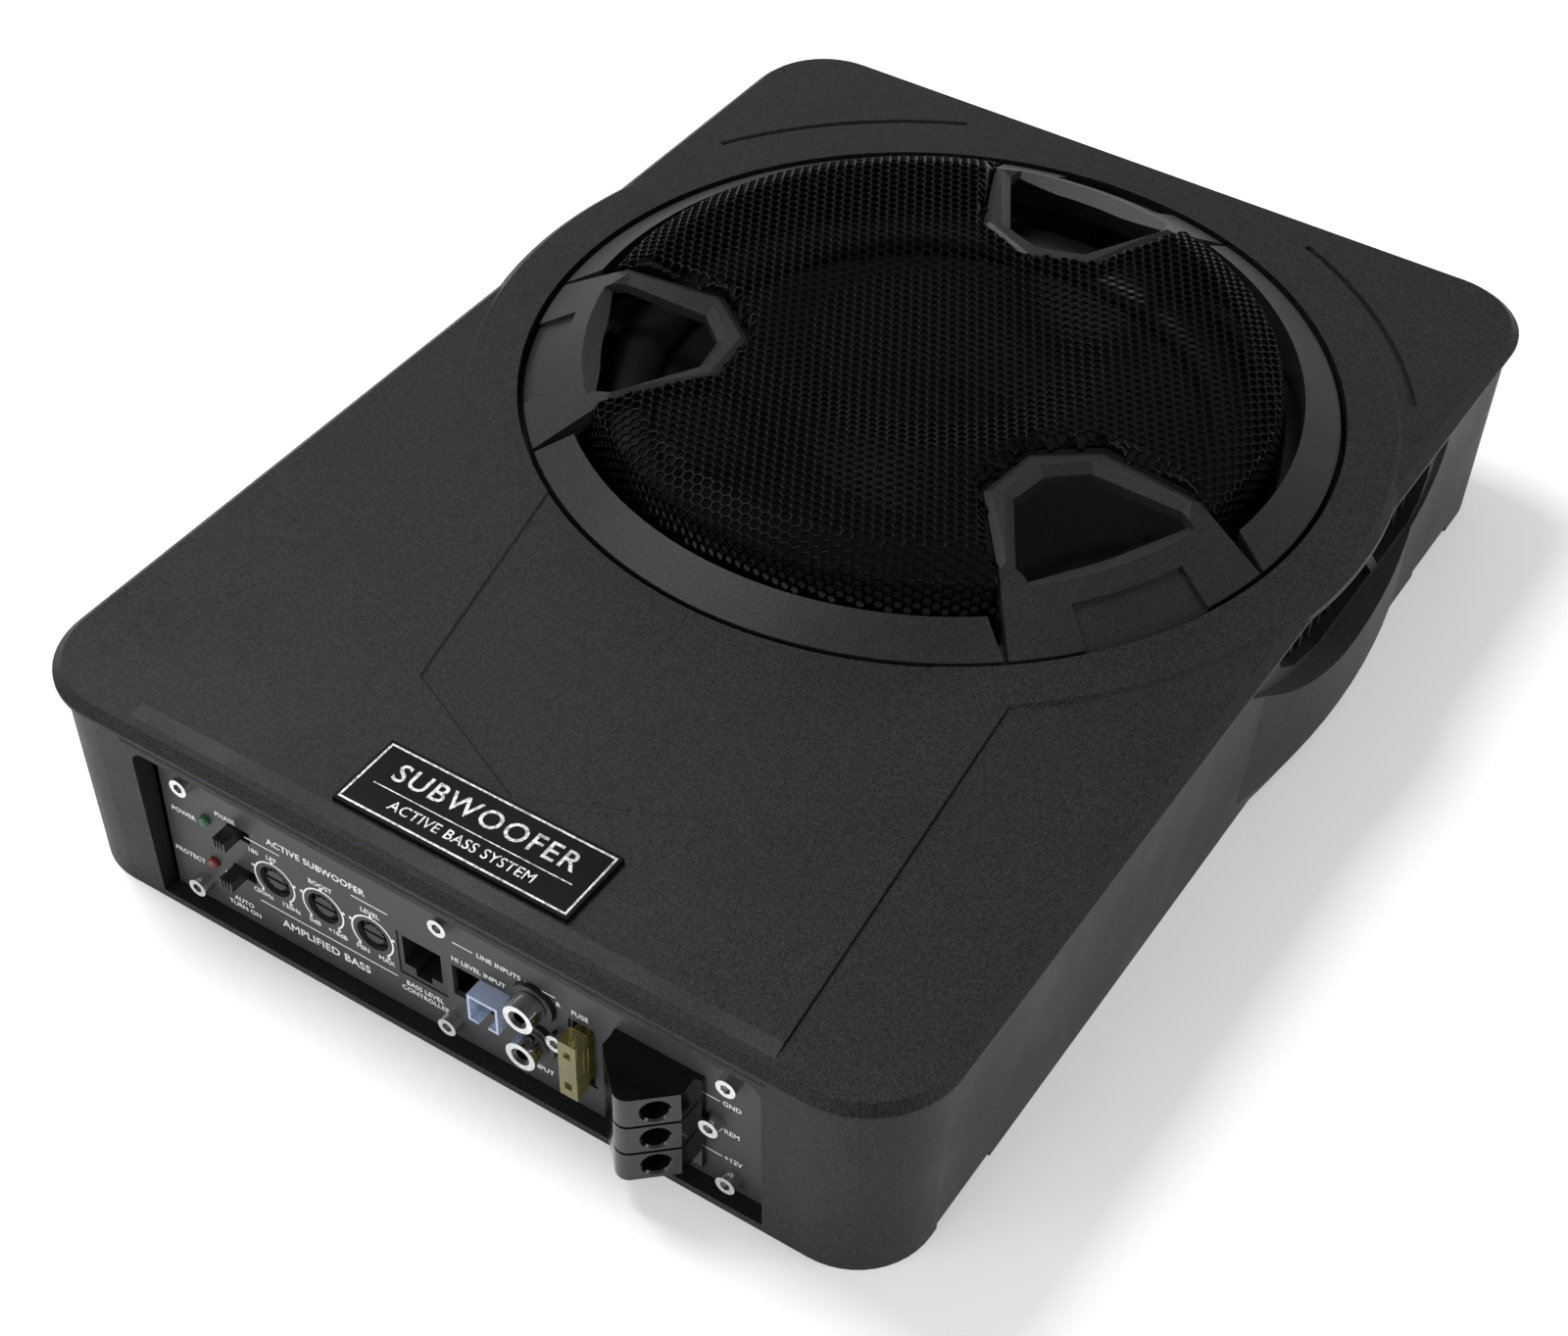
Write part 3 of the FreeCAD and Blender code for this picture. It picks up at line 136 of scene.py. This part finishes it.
def spread(tree, value, low, high):
    """A grey number that goes from low to high over the middle of a noise."""
    node = tree.nodes.new("ShaderNodeMapRange")
    node.inputs["From Min"].default_value = 0.3
    node.inputs["From Max"].default_value = 0.7
    node.inputs["To Min"].default_value = low
    node.inputs["To Max"].default_value = high
    tree.links.new(value, node.inputs["Value"])
    return node.outputs["Result"]


def bump(tree, shader, value, depth):
    node = tree.nodes.new("ShaderNodeBump")
    node.inputs["Strength"].default_value = 1.0
    node.inputs["Distance"].default_value = depth
    tree.links.new(value, node.inputs["Height"])
    tree.links.new(node.outputs["Normal"], shader.inputs["Normal"])


def shade(colour, factor):
    return tuple(min(1.0, c * factor) for c in colour)


def textured(name, colour, roughness, grain=2.0, depth=0.05, contrast=0.35, mottle=0.15,
             rough_spread=0.08, specular=0.5):
    """Fine grained finish: grain is the size of a grain in mm, depth its height in mm."""
    mat, tree, shader = new_material(name)
    fine = noise(tree, 1 / (grain * MM), 2.0)
    broad = noise(tree, 25.0, 4.0)
    grained = ramp(tree, fine, 0.35, 0.7, shade(colour, 1 - contrast), shade(colour, 1 + contrast))
    mottled = ramp(tree, broad, 0.3, 0.7, (1 - mottle,) * 3, (1 + mottle / 2,) * 3)
    mix = tree.nodes.new("ShaderNodeMix")
    mix.data_type = "RGBA"
    mix.blend_type = "MULTIPLY"
    mix.inputs["Factor"].default_value = 1.0
    tree.links.new(grained, mix.inputs["A"])
    tree.links.new(mottled, mix.inputs["B"])
    tree.links.new(mix.outputs["Result"], shader.inputs["Base Color"])
    tree.links.new(spread(tree, broad, roughness - rough_spread, roughness + rough_spread),
                   shader.inputs["Roughness"])
    bump(tree, shader, fine, depth * MM)
    shader.inputs["Specular IOR Level"].default_value = specular
    return mat


MARKS_SCALE = 900.0                    # turning and brushing marks on metal, per metre


def metal(name, colour, roughness, stretch=(1, 1, 1)):
    """Bare or plated metal with fine brushed or turned marks."""
    mat, tree, shader = new_material(name)
    place = tree.nodes.new("ShaderNodeTexCoord")
    mapping = tree.nodes.new("ShaderNodeMapping")
    mapping.inputs["Scale"].default_value = stretch
    tex = tree.nodes.new("ShaderNodeTexNoise")
    tex.inputs["Scale"].default_value = MARKS_SCALE
    tex.inputs["Detail"].default_value = 4.0
    tree.links.new(place.outputs["Object"], mapping.inputs["Vector"])
    tree.links.new(mapping.outputs["Vector"], tex.inputs["Vector"])
    tree.links.new(ramp(tree, tex.outputs["Fac"], 0.3, 0.7, shade(colour, 0.85), shade(colour, 1.08)),
                   shader.inputs["Base Color"])
    tree.links.new(spread(tree, tex.outputs["Fac"], roughness * 0.7, roughness * 1.3),
                   shader.inputs["Roughness"])
    bump(tree, shader, tex.outputs["Fac"], 0.01 * MM)
    shader.inputs["Metallic"].default_value = 1.0
    return mat


PLASTIC_IOR = 1.49


def clear_plastic(name, colour, roughness, transmission):
    mat, tree, shader = new_material(name)
    fine = noise(tree, 300.0, 3.0)
    tree.links.new(ramp(tree, fine, 0.3, 0.7, shade(colour, 0.9), shade(colour, 1.05)),
                   shader.inputs["Base Color"])
    tree.links.new(spread(tree, fine, roughness * 0.7, roughness * 1.3), shader.inputs["Roughness"])
    bump(tree, shader, fine, 0.02 * MM)
    shader.inputs["Transmission Weight"].default_value = transmission
    shader.inputs["IOR"].default_value = PLASTIC_IOR
    return mat


MATERIALS = {
    "black_powder_coat": textured("black_powder_coat", (0.0125, 0.0125, 0.0145), 0.5, 0.4, 0.09, 1.0,
                                  specular=0.2),
    "black_cast": textured("black_cast", (0.014, 0.014, 0.0158), 0.52, 0.5, 0.07, 0.8, specular=0.2),
    "ring_plastic": textured("ring_plastic", (0.016, 0.016, 0.018), 0.42, 0.5, 0.04, 0.5, specular=0.25),
    "grille_steel": textured("grille_steel", (0.001, 0.001, 0.0011), 0.18, 1.0, 0.02, 0.2, specular=0.05),
    "panel_steel": textured("panel_steel", (0.042, 0.042, 0.044), 0.45, 0.3, 0.02, 0.3, specular=0.3),
    "badge_metal": textured("badge_metal", (0.002, 0.002, 0.002), 0.4, 0.6, 0.01, 0.2, specular=0.1),
    "black_plastic": textured("black_plastic", (0.012, 0.012, 0.012), 0.42, 0.5, 0.02, 0.2),
    "gloss_black": textured("gloss_black", (0.006, 0.006, 0.006), 0.12, 2.0, 0.01, 0.2, rough_spread=0.04),
    "clear_nylon": clear_plastic("clear_nylon", (0.62, 0.72, 0.9), 0.25, 0.45),
    "fuse_plastic": clear_plastic("fuse_plastic", (0.42, 0.38, 0.13), 0.1, 0.72),
    "chrome": metal("chrome", (0.78, 0.78, 0.78), 0.1),
    "brass": metal("brass", (0.7, 0.52, 0.26), 0.3),
    "tin": metal("tin", (0.6, 0.6, 0.6), 0.3),
    "zinc_steel": metal("zinc_steel", (0.6, 0.6, 0.58), 0.32),
    "nickel_screw": metal("nickel_screw", (0.7, 0.7, 0.7), 0.14),
    "black_screw": metal("black_screw", (0.12, 0.12, 0.12), 0.28),
    "foam": textured("foam", (0.01, 0.01, 0.01), 0.9, 0.8, 0.2, 0.4),
    "rubber": textured("rubber", (0.003, 0.003, 0.003), 0.45, 0.8, 0.02, 0.2, specular=0.15),
    "paper_cone": textured("paper_cone", (0.003, 0.003, 0.003), 0.6, 0.9, 0.08, 0.4, specular=0.12),
    "spider_cloth": textured("spider_cloth", (0.42, 0.3, 0.14), 0.8, 0.6, 0.1, 0.4),
    "copper": metal("copper", (0.72, 0.32, 0.16), 0.3),
    "kapton": textured("kapton", (0.4, 0.16, 0.03), 0.3, 1.0, 0.01, 0.1),
    "ferrite": textured("ferrite", (0.03, 0.03, 0.032), 0.55, 0.4, 0.04, 0.3),
    "green_board": textured("green_board", (0.01, 0.09, 0.035), 0.35, 1.5, 0.03, 0.25),
    "led_green": clear_plastic("led_green", (0.04, 0.16, 0.07), 0.15, 0.3),
    "led_red": clear_plastic("led_red", (0.2, 0.03, 0.025), 0.15, 0.3),
    "capacitor": textured("capacitor", (0.01, 0.014, 0.03), 0.3, 1.0, 0.01, 0.2),
    "aluminium": metal("aluminium", (0.75, 0.75, 0.76), 0.35, (0.05, 1, 1)),
    "wire": textured("wire", (0.3, 0.02, 0.02), 0.4, 0.6, 0.01, 0.2),
    "white_print": textured("white_print", (0.72, 0.72, 0.7), 0.5, 0.3, 0.01, 0.12),
    "silver_print": metal("silver_print", (0.75, 0.75, 0.74), 0.3),
}


def paint(obj, name):
    obj.data.materials.clear()
    obj.data.materials.append(MATERIALS[name])


# ---- mesh tools -----------------------------------------------------------------------
def add_mesh(name, verts, faces, material, smooth=False):
    mesh = bpy.data.meshes.new(name)
    mesh.from_pydata([tuple(v) for v in verts], [], faces)
    mesh.update()
    if smooth:
        mesh.shade_smooth()
    obj = bpy.data.objects.new(name, mesh)
    bpy.context.scene.collection.objects.link(obj)
    paint(obj, material)
    return obj


SHARP_ANGLE = 35.0


def rounded(obj, width_mm):
    """Small round on the sharp edges, with smooth shading that keeps flat faces flat."""
    bevel = obj.modifiers.new("edges", "BEVEL")
    bevel.width = width_mm * MM
    bevel.segments = 2
    bevel.limit_method = "ANGLE"
    bevel.angle_limit = math.radians(SHARP_ANGLE)
    bevel.harden_normals = True
    obj.data.shade_smooth()


def lathe(name, profile, material, centre=(0.0, 0.0), segments=160):
    """Closed (radius, height) outline in mm, turned about the vertical line through centre."""
    verts, faces = [], []
    count = len(profile)
    for i in range(segments):
        a = 2 * math.pi * i / segments
        for r, z in profile:
            verts.append((centre[0] + r * MM * math.cos(a), centre[1] + r * MM * math.sin(a), z * MM))
    for i in range(segments):
        here, there = i * count, (i + 1) % segments * count
        for j in range(count):
            k = (j + 1) % count
            faces.append((here + j, there + j, there + k, here + k))
    return add_mesh(name, verts, faces, material, smooth=True)


# ---- grille ---------------------------------------------------------------------------
DOME = [(0.0, GRILLE_TOP - 2.5), (34.0, GRILLE_TOP - 2.5), (46.0, GRILLE_TOP), (84.0, GRILLE_TOP),
        (93.3, GRILLE_TOP - 4.3), (96.3, GRILLE_FOOT)]
DOME_LENGTHS = [math.dist(a, b) for a, b in zip(DOME, DOME[1:])]
LAST_HOLES = 104.0                     # along the dome from its middle: no holes past this
DOME_END = 110.0
LOOP_SIDE = [(50.0, 0.0), (57.4, 17.8), (81.4, 28.0), (112.0, 39.6)]     # half of a loop's outline
EDGE_CLEAR = 0.7                       # from a loop to the sheet's edge
EDGE_SNAP = 0.35                       # points closer than this to the edge are moved onto it
EDGE_DROP = 3.2                        # the edge lies this much below the dome's flat
EDGE_SLOPE = 1.5
EASE = 0.9                             # half the stretch over which the dome's corners are rounded


def along_dome(s):
    """Radius and height at the distance s along the dome's outline."""
    for (a, b), length in zip(zip(DOME, DOME[1:]), DOME_LENGTHS):
        if s <= length:
            t = max(0.0, s) / length
            return a[0] + (b[0] - a[0]) * t, a[1] + (b[1] - a[1]) * t
        s -= length
    return DOME[-1]


def eased_dome(s):
    """The same with its corners rounded over a short stretch."""
    near = [along_dome(s + d) for d in (-EASE, 0.0, EASE)]
    return sum(p[0] for p in near) / 3, sum(p[1] for p in near) / 3


def past_loop(x, y):
    """Distance from the nearest finger loop (negative inside it) and the way out of it."""
    best = (1e9, 0.0, 0.0)
    for angle in LOOP_ANGLES:
        a = math.radians(angle)
        u = x * math.cos(a) + y * math.sin(a)
        v = -x * math.sin(a) + y * math.cos(a)
        side = 1.0 if v >= 0 else -1.0
        out = (-1e9, 0.0, 0.0)
        for (pu, pv), (qu, qv) in zip(LOOP_SIDE, LOOP_SIDE[1:]):
            length = math.hypot(qu - pu, qv - pv)
            nu, nv = -(qv - pv) / length, (qu - pu) / length
            out = max(out, (nu * (u - pu) + nv * (abs(v) - pv), nu, nv))
        d, nu, nv = out
        nv *= side
        best = min(best, (d, nu * math.cos(a) - nv * math.sin(a),
                          nu * math.sin(a) + nv * math.cos(a)))
    return best


def grille_point(px, py):
    """Place in mm, from the woofer's axis, of a point of the flat pattern pressed onto the dome."""
    s = math.hypot(px, py)
    r, z = eased_dome(min(s, DOME_END))
    if s > 0:
        px, py = px * r / s, py * r / s
    d, nx, ny = past_loop(px, py)
    if d < EDGE_CLEAR + EDGE_SNAP:
        px, py = px + nx * (EDGE_CLEAR - d), py + ny * (EDGE_CLEAR - d)
        d = EDGE_CLEAR
    return px, py, min(z, GRILLE_TOP - EDGE_DROP + EDGE_SLOPE * (d - EDGE_CLEAR))


def grille():
    """Pressed dome with a hexagon hole in every cell of a staggered grid."""
    rows = int(DOME_END / (GRILLE_PITCH * math.sqrt(3) / 2)) + 2
    verts, faces, seen = [], [], {}

    def point(x, y, sunk=0.0):
        key = (round(x, 3), round(y, 3))
        if key not in seen:
            seen[key] = len(verts)
            px, py, z = grille_point(x, y)
            verts.append((RING.x + px * MM, RING.y + py * MM, (z - sunk) * MM))
        return seen[key]

    def corners(cx, cy, r):
        turns = [math.radians(30 + 60 * k) for k in range(6)]
        return [(cx + r * math.cos(t), cy + r * math.sin(t)) for t in turns]

    for row in range(-rows, rows + 1):
        for column in range(-rows, rows + 1):
            cx = (column + 0.5 * (row % 2)) * GRILLE_PITCH
            cy = row * GRILLE_PITCH * math.sqrt(3) / 2
            s = math.hypot(cx, cy)
            if s > DOME_END + GRILLE_CELL:
                continue
            outline = corners(cx, cy, GRILLE_CELL)
            r = eased_dome(min(s, DOME_END))[0]
            scale = r / s if s > 0 else 1.0
            room = past_loop(cx * scale, cy * scale)[0]
            if room < EDGE_CLEAR - 0.75 * GRILLE_CELL:
                continue
            outer = [point(x, y) for x, y in outline]
            if s > LAST_HOLES or room < EDGE_CLEAR + 0.4 * GRILLE_CELL:
                faces.append(tuple(outer))
                continue
            inner = [point(x, y, HOLE_ROLL) for x, y in corners(cx, cy, GRILLE_CELL * GRILLE_HOLE)]
            for k in range(6):
                faces.append((outer[k], outer[(k + 1) % 6], inner[(k + 1) % 6], inner[k]))
    sheet = add_mesh("grille_sheet", verts, faces, "grille_steel", smooth=True)
    thick = sheet.modifiers.new("sheet", "SOLIDIFY")
    thick.thickness = GRILLE_SHEET * MM
    thick.offset = -1.0
    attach(sheet, CASE)
    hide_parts("grille")


# ---- woofer ---------------------------------------------------------------------------
def weigh_by_radius(obj, still_r, moving_r):
    """Makes the blend follow the distance from the woofer's axis: still outside, moving inside."""
    weights = obj.data.attributes["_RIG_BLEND"].data
    for v in obj.data.vertices:
        r = math.hypot(v.co.x - RING.x, v.co.y - RING.y) / MM
        t = min(1.0, max(0.0, (still_r - r) / (still_r - moving_r)))
        weights[v.index].value = t * t * (3 - 2 * t)


def roll_outline(inner, outer, foot, rise, thickness, steps=14):
    """Half roll with a flat foot outside it, as a closed (radius, height) outline from z = 0."""
    mid, half = (inner + outer) / 2, (outer - inner) / 2
    over = []
    for i in range(steps + 1):
        a = math.pi * i / steps
        over.append((mid - half * math.cos(a), rise * math.sin(a) + thickness))
    over.append((foot, thickness))
    under = [(foot, 0.0)]
    for i in range(steps + 1):
        a = math.pi * (steps - i) / steps
        under.append((mid - (half - thickness) * math.cos(a),
                      (rise - thickness) * max(0.0, math.sin(a))))
    return over + under


ROLL_INNER, ROLL_OUTER, ROLL_FOOT = 75.2, 92.0, 95.5     # radii of the rubber surround
ROLL_SHEET = 0.9


def surround():
    low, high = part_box("surround")
    base = low.z / MM
    rise = (high.z - low.z) / MM - ROLL_SHEET
    roll_line = roll_outline(ROLL_INNER, ROLL_OUTER, ROLL_FOOT, rise, ROLL_SHEET)
    outline = [(r, z + base) for r, z in roll_line]
    roll = lathe("surround_roll", outline, "rubber", (RING.x, RING.y))
    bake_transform(roll, CASE, MOTION, RING, RING + Vector((0, 0, 1)))
    weigh_by_radius(roll, ROLL_OUTER, 76.0)
    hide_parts("surround")


SPIDER_INNER, SPIDER_OUTER, SPIDER_WAVES = 19.5, 53.9, 5


def spider():
    low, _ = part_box("spider")
    base = low.z / MM
    steps = 60
    upper = []
    for i in range(steps + 1):
        t = i / steps
        r = SPIDER_INNER + (SPIDER_OUTER - SPIDER_INNER) * t
        flat = min(1.0, t / 0.1, (1 - t) / 0.1)
        wave = 1 - math.cos(2 * math.pi * SPIDER_WAVES * t)
        upper.append((r, base + 0.5 + 0.8 * flat * wave))
    outline = upper + [(r, z - 0.5) for r, z in reversed(upper)]
    cloth = lathe("spider_cloth", outline, "spider_cloth", (RING.x, RING.y))
    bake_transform(cloth, CASE, MOTION, RING, RING + Vector((0, 0, 1)))
    weigh_by_radius(cloth, 53.0, 20.0)
    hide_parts("spider")


# ---- badge and print ------------------------------------------------------------------
def text_outline(text, size, spacing=1.0, bold=0.0):
    """Mesh of a line of text round the origin in the XY plane. Size is the capitals' height in mm."""
    curve = bpy.data.curves.new("text", "FONT")
    curve.body = text
    curve.size = size * MM / 0.7
    curve.align_x = "CENTER"
    curve.align_y = "CENTER"
    curve.space_character = spacing
    curve.offset = bold * MM
    curve.extrude = 0.02 * MM
    curve.resolution_u = 3
    carrier = bpy.data.objects.new("text", curve)
    bpy.context.scene.collection.objects.link(carrier)
    bpy.context.view_layer.update()
    graph = bpy.context.evaluated_depsgraph_get()
    mesh = bpy.data.meshes.new_from_object(carrier.evaluated_get(graph))
    bpy.data.objects.remove(carrier)
    return mesh


def box_faces(x0, x1, y0, y1, z0, z1):
    verts = [(x, y, z) for z in (z0, z1) for x, y in ((x0, y0), (x1, y0), (x1, y1), (x0, y1))]
    faces = [(3, 2, 1, 0), (4, 5, 6, 7), (0, 1, 5, 4), (1, 2, 6, 5), (2, 3, 7, 6), (3, 0, 4, 7)]
    return verts, faces


class Print:
    """Collects thin marks on one plane into one mesh. The plane's own X and Y are in mm."""

    def __init__(self, name, material, place, slot):
        self.name, self.material, self.place, self.slot = name, material, place, slot
        self.verts, self.faces = [], []

    def add(self, verts, faces):
        start = len(self.verts)
        self.verts += [self.place @ Vector(v) for v in verts]
        self.faces += [tuple(start + i for i in f) for f in faces]

    def text(self, text, x, y, size, spacing=1.0, bold=0.0):
        mesh = text_outline(text, size, spacing, bold)
        self.add([v.co + Vector((x * MM, y * MM, 0)) for v in mesh.vertices],
                 [tuple(p.vertices) for p in mesh.polygons])

    def bar(self, x0, x1, y0, y1):
        self.add(*box_faces(x0 * MM, x1 * MM, y0 * MM, y1 * MM, -0.02 * MM, 0.02 * MM))

    def frame(self, x0, x1, y0, y1, width):
        self.bar(x0, x1, y0, y0 + width)
        self.bar(x0, x1, y1 - width, y1)
        self.bar(x0, x0 + width, y0 + width, y1 - width)
        self.bar(x1 - width, x1, y0 + width, y1 - width)

    def arc(self, x, y, r, start, end, width, steps=24):
        verts, faces = [], []
        for i in range(steps + 1):
            a = math.radians(start + (end - start) * i / steps)
            for reach in (r - width / 2, r + width / 2):
                verts.append(((x + reach * math.cos(a)) * MM, (y + reach * math.sin(a)) * MM, 0.02 * MM))
        for i in range(steps):
            faces.append((2 * i, 2 * i + 1, 2 * i + 3, 2 * i + 2))
        self.add(verts, faces)

    def finish(self):
        obj = add_mesh(self.name, self.verts, self.faces, self.material)
        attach(obj, CASE)
        return obj


def badge():
    place = Matrix.Translation((0, 0, BADGE_HIGH.z + 0.03 * MM))
    mark = Print("badge_print", "silver_print", place, "badge_metal")
    x0, x1 = BADGE_LOW.x / MM, BADGE_HIGH.x / MM
    y0, y1 = BADGE_LOW.y / MM, BADGE_HIGH.y / MM
    mark.frame(x0 + 0.9, x1 - 0.9, y0 + 0.9, y1 - 0.9, 0.55)
    centre_y = (y0 + y1) / 2
    mark.text("SUBWOOFER", 0, centre_y + 3.2, 5.6, 1.12, 0.06)
    mark.bar(x0 + 5, x1 - 5, centre_y - 2.2, centre_y - 1.9)
    mark.text("ACTIVE BASS SYSTEM", 0, centre_y - 5.6, 2.9, 1.05, 0.03)
    mark.finish()


KNOBS = ("cutoff_knob", "boost_knob", "level_knob")
POT_X = [round(middle(node).x / MM, 1) for node in KNOBS]
POT_Z = round(middle(KNOBS[0]).z / MM, 1)
PRINT_SIZE = 1.55                      # height of the small capitals, in mm
LABELS = [                             # word, x and z of its middle, in mm
    ("POWER", -82.6, 31.0), ("PROTECT", -83.0, 16.0), ("PHASE", -68.4, 37.6),
    ("AUTO", -66.7, 8.6), ("TURN ON", -66.7, 6.2),
    ("0", -69.6, 30.9), ("180", -60.6, 30.9), ("OFF", -69.6, 16.6), ("ON", -60.6, 16.6),
    ("LPF", POT_X[0], 31.4), ("BOOST", POT_X[1], 31.4), ("LEVEL", POT_X[2], 31.4),
    ("50Hz", -58.6, 16.6), ("120Hz", -50.6, 16.6), ("0dB", -43.0, 16.6), ("+18dB", -36.0, 16.6),
    ("MIN", -28.2, 16.6), ("MAX", -21.0, 16.6),
    ("BASS LEVEL", -9.8, 12.6), ("CONTROLLER", -9.8, 10.2),
    ("HI LEVEL INPUT", 7.4, 31.6), ("LINE INPUTS", 13.6, 37.6),
    ("R", 30.4, 35.6), ("L", 30.4, 15.4), ("INPUT", 24.7, 8.4), ("FUSE", 36.4, 35.6),
    ("GND", 77.6, 32.7), ("REM", 77.6, 22.8), ("+12V", 78.0, 13.0),
]


RULES = [                              # thin lines of the print, from x to x at the height z
    (-62.7, -51.8, 34.6), (-29.9, -19.0, 34.6), (-60.7, -18.0, 13.2), (0.4, 6.2, 37.6),
    (21.0, 29.7, 37.6), (69.6, 74.4, 32.7), (69.6, 75.0, 13.0),
]


def panel_print():
    place = Matrix.Translation((0, PANEL_FACE - 0.03 * MM, 0)) @ Matrix.Rotation(math.pi / 2, 4, "X")
    mark = Print("panel_print", "white_print", place, "panel_steel")
    for text, x, z in LABELS:
        mark.text(text, x, z, PRINT_SIZE, 1.02, 0.03)
    mark.text("ACTIVE SUBWOOFER", -40.5, 37.6, 2.1, 1.05, 0.05)
    mark.text("AMPLIFIED BASS", -40.5, 9.0, 2.6, 1.05, 0.06)
    for x in POT_X:
        mark.arc(x, POT_Z, 6.2, -50, 230, 0.5)
        for tick in range(5):
            a = math.radians(-50 + 70 * tick)
            mark.arc(x + 6.9 * math.cos(a), POT_Z + 6.9 * math.sin(a), 0.25, 0, 360, 0.5, 8)
    for x0, x1, z in RULES:
        mark.bar(x0, x1, z - 0.16, z + 0.16)
    mark.finish()


# ---- CAD pieces that stay -------------------------------------------------------------
SMALL_ROUND = 0.15                     # on most edges, in mm
ROUNDS = {"top_cover": 0.5, "lower_tray": 0.6, "speaker_ring": 0.7, "badge_plate": 0.3,
          "power_terminal": 0.7, "blade_fuse": 0.25, "rca_shells": 0.25, "panel_screws": 0.25,
          "input_header": 0.2}


def finish_cad_nodes():
    slots = {s["node"]: s["material_slot"] for s in frame["record"]["subparts"]}
    for name, obj in frame["nodes"].items():
        paint(obj, slots[name])
        if name != "control_panel":
            rounded(obj, ROUNDS.get(name, SMALL_ROUND))


# ---- stage ----------------------------------------------------------------------------
CAMERA_PLACE = Vector((0.2734, -0.4589, 0.5072))
CAMERA_AZIMUTH = 32.08                 # degrees to the right of straight in front
CAMERA_ELEVATION = 43.85
CAMERA_ROLL = 1.47
CAMERA_LENS = 61.27


def camera():
    data = bpy.data.cameras.new("camera")
    data.sensor_width = 36.0
    data.lens = CAMERA_LENS
    data.clip_start = 0.01
    data.clip_end = 20.0
    cam = bpy.data.objects.new("camera", data)
    bpy.context.scene.collection.objects.link(cam)
    a, e, roll = (math.radians(v) for v in (CAMERA_AZIMUTH, CAMERA_ELEVATION, CAMERA_ROLL))
    back = Vector((math.sin(a) * math.cos(e), -math.cos(a) * math.cos(e), math.sin(e)))
    right = Vector((math.cos(a), math.sin(a), 0.0))
    up = back.cross(right)
    right, up = (math.cos(roll) * right + math.sin(roll) * up,
                 -math.sin(roll) * right + math.cos(roll) * up)
    turn = Matrix((right, up, back)).transposed().to_4x4()
    cam.matrix_world = Matrix.Translation(CAMERA_PLACE) @ turn
    bpy.context.scene.camera = cam


SKY_TOP = (0.3, 0.3, 0.31)             # the room is darker overhead than at the horizon
SKY_STRENGTH = 0.9
LIGHT_TARGET = Vector((0, 0, 0.03))


def area_light(name, place, size, power):
    """Soft box that points at the middle of the object."""
    data = bpy.data.lights.new(name, "AREA")
    data.shape = "RECTANGLE"
    data.size, data.size_y = size
    data.energy = power
    lamp = bpy.data.objects.new(name, data)
    bpy.context.scene.collection.objects.link(lamp)
    lamp.location = place
    lamp.rotation_mode = "QUATERNION"
    lamp.rotation_quaternion = (LIGHT_TARGET - Vector(place)).to_track_quat("-Z", "Y")


def lights():
    world = bpy.data.worlds.new("world")
    world.use_nodes = True
    tree = world.node_tree
    place = tree.nodes.new("ShaderNodeTexCoord")
    split = tree.nodes.new("ShaderNodeSeparateXYZ")
    tree.links.new(place.outputs["Generated"], split.inputs["Vector"])
    sky = ramp(tree, split.outputs["Z"], 0.1, 0.75, (1, 1, 1), SKY_TOP)
    tree.links.new(sky, tree.nodes["Background"].inputs["Color"])
    tree.nodes["Background"].inputs["Strength"].default_value = SKY_STRENGTH
    bpy.context.scene.world = world
    area_light("top_softbox", (-0.9, 0.1, 1.7), (0.7, 0.7), 26.0)
    area_light("front_softbox", (-0.6, -1.6, 0.6), (1.4, 0.8), 12.0)
    area_light("side_softbox", (1.6, 0.3, 0.5), (1.0, 0.8), 8.0)


FLOOR_GLOW = 0.28                      # lifts the shadow on the white paper
FLOOR_REACH = 6.0
FLOOR_THICK = 0.02


def floor():
    low = cad_bounds[0].z
    verts, faces = box_faces(-FLOOR_REACH, FLOOR_REACH, -FLOOR_REACH, FLOOR_REACH, low - FLOOR_THICK, low)
    slab = add_mesh("floor", verts, faces, "white_print")
    mat = textured("floor_paper", (0.92, 0.92, 0.92), 0.7, 1.2, 0.02, 0.02, mottle=0.01)
    shader = next(n for n in mat.node_tree.nodes if n.type == "BSDF_PRINCIPLED")
    shader.inputs["Emission Color"].default_value = (1, 1, 1, 1)
    shader.inputs["Emission Strength"].default_value = FLOOR_GLOW
    slab.data.materials.clear()
    slab.data.materials.append(mat)


bpy.context.scene.view_settings.view_transform = "Standard"
camera()
lights()
floor()
finish_cad_nodes()
grille()
surround()
spider()
badge()
panel_print()
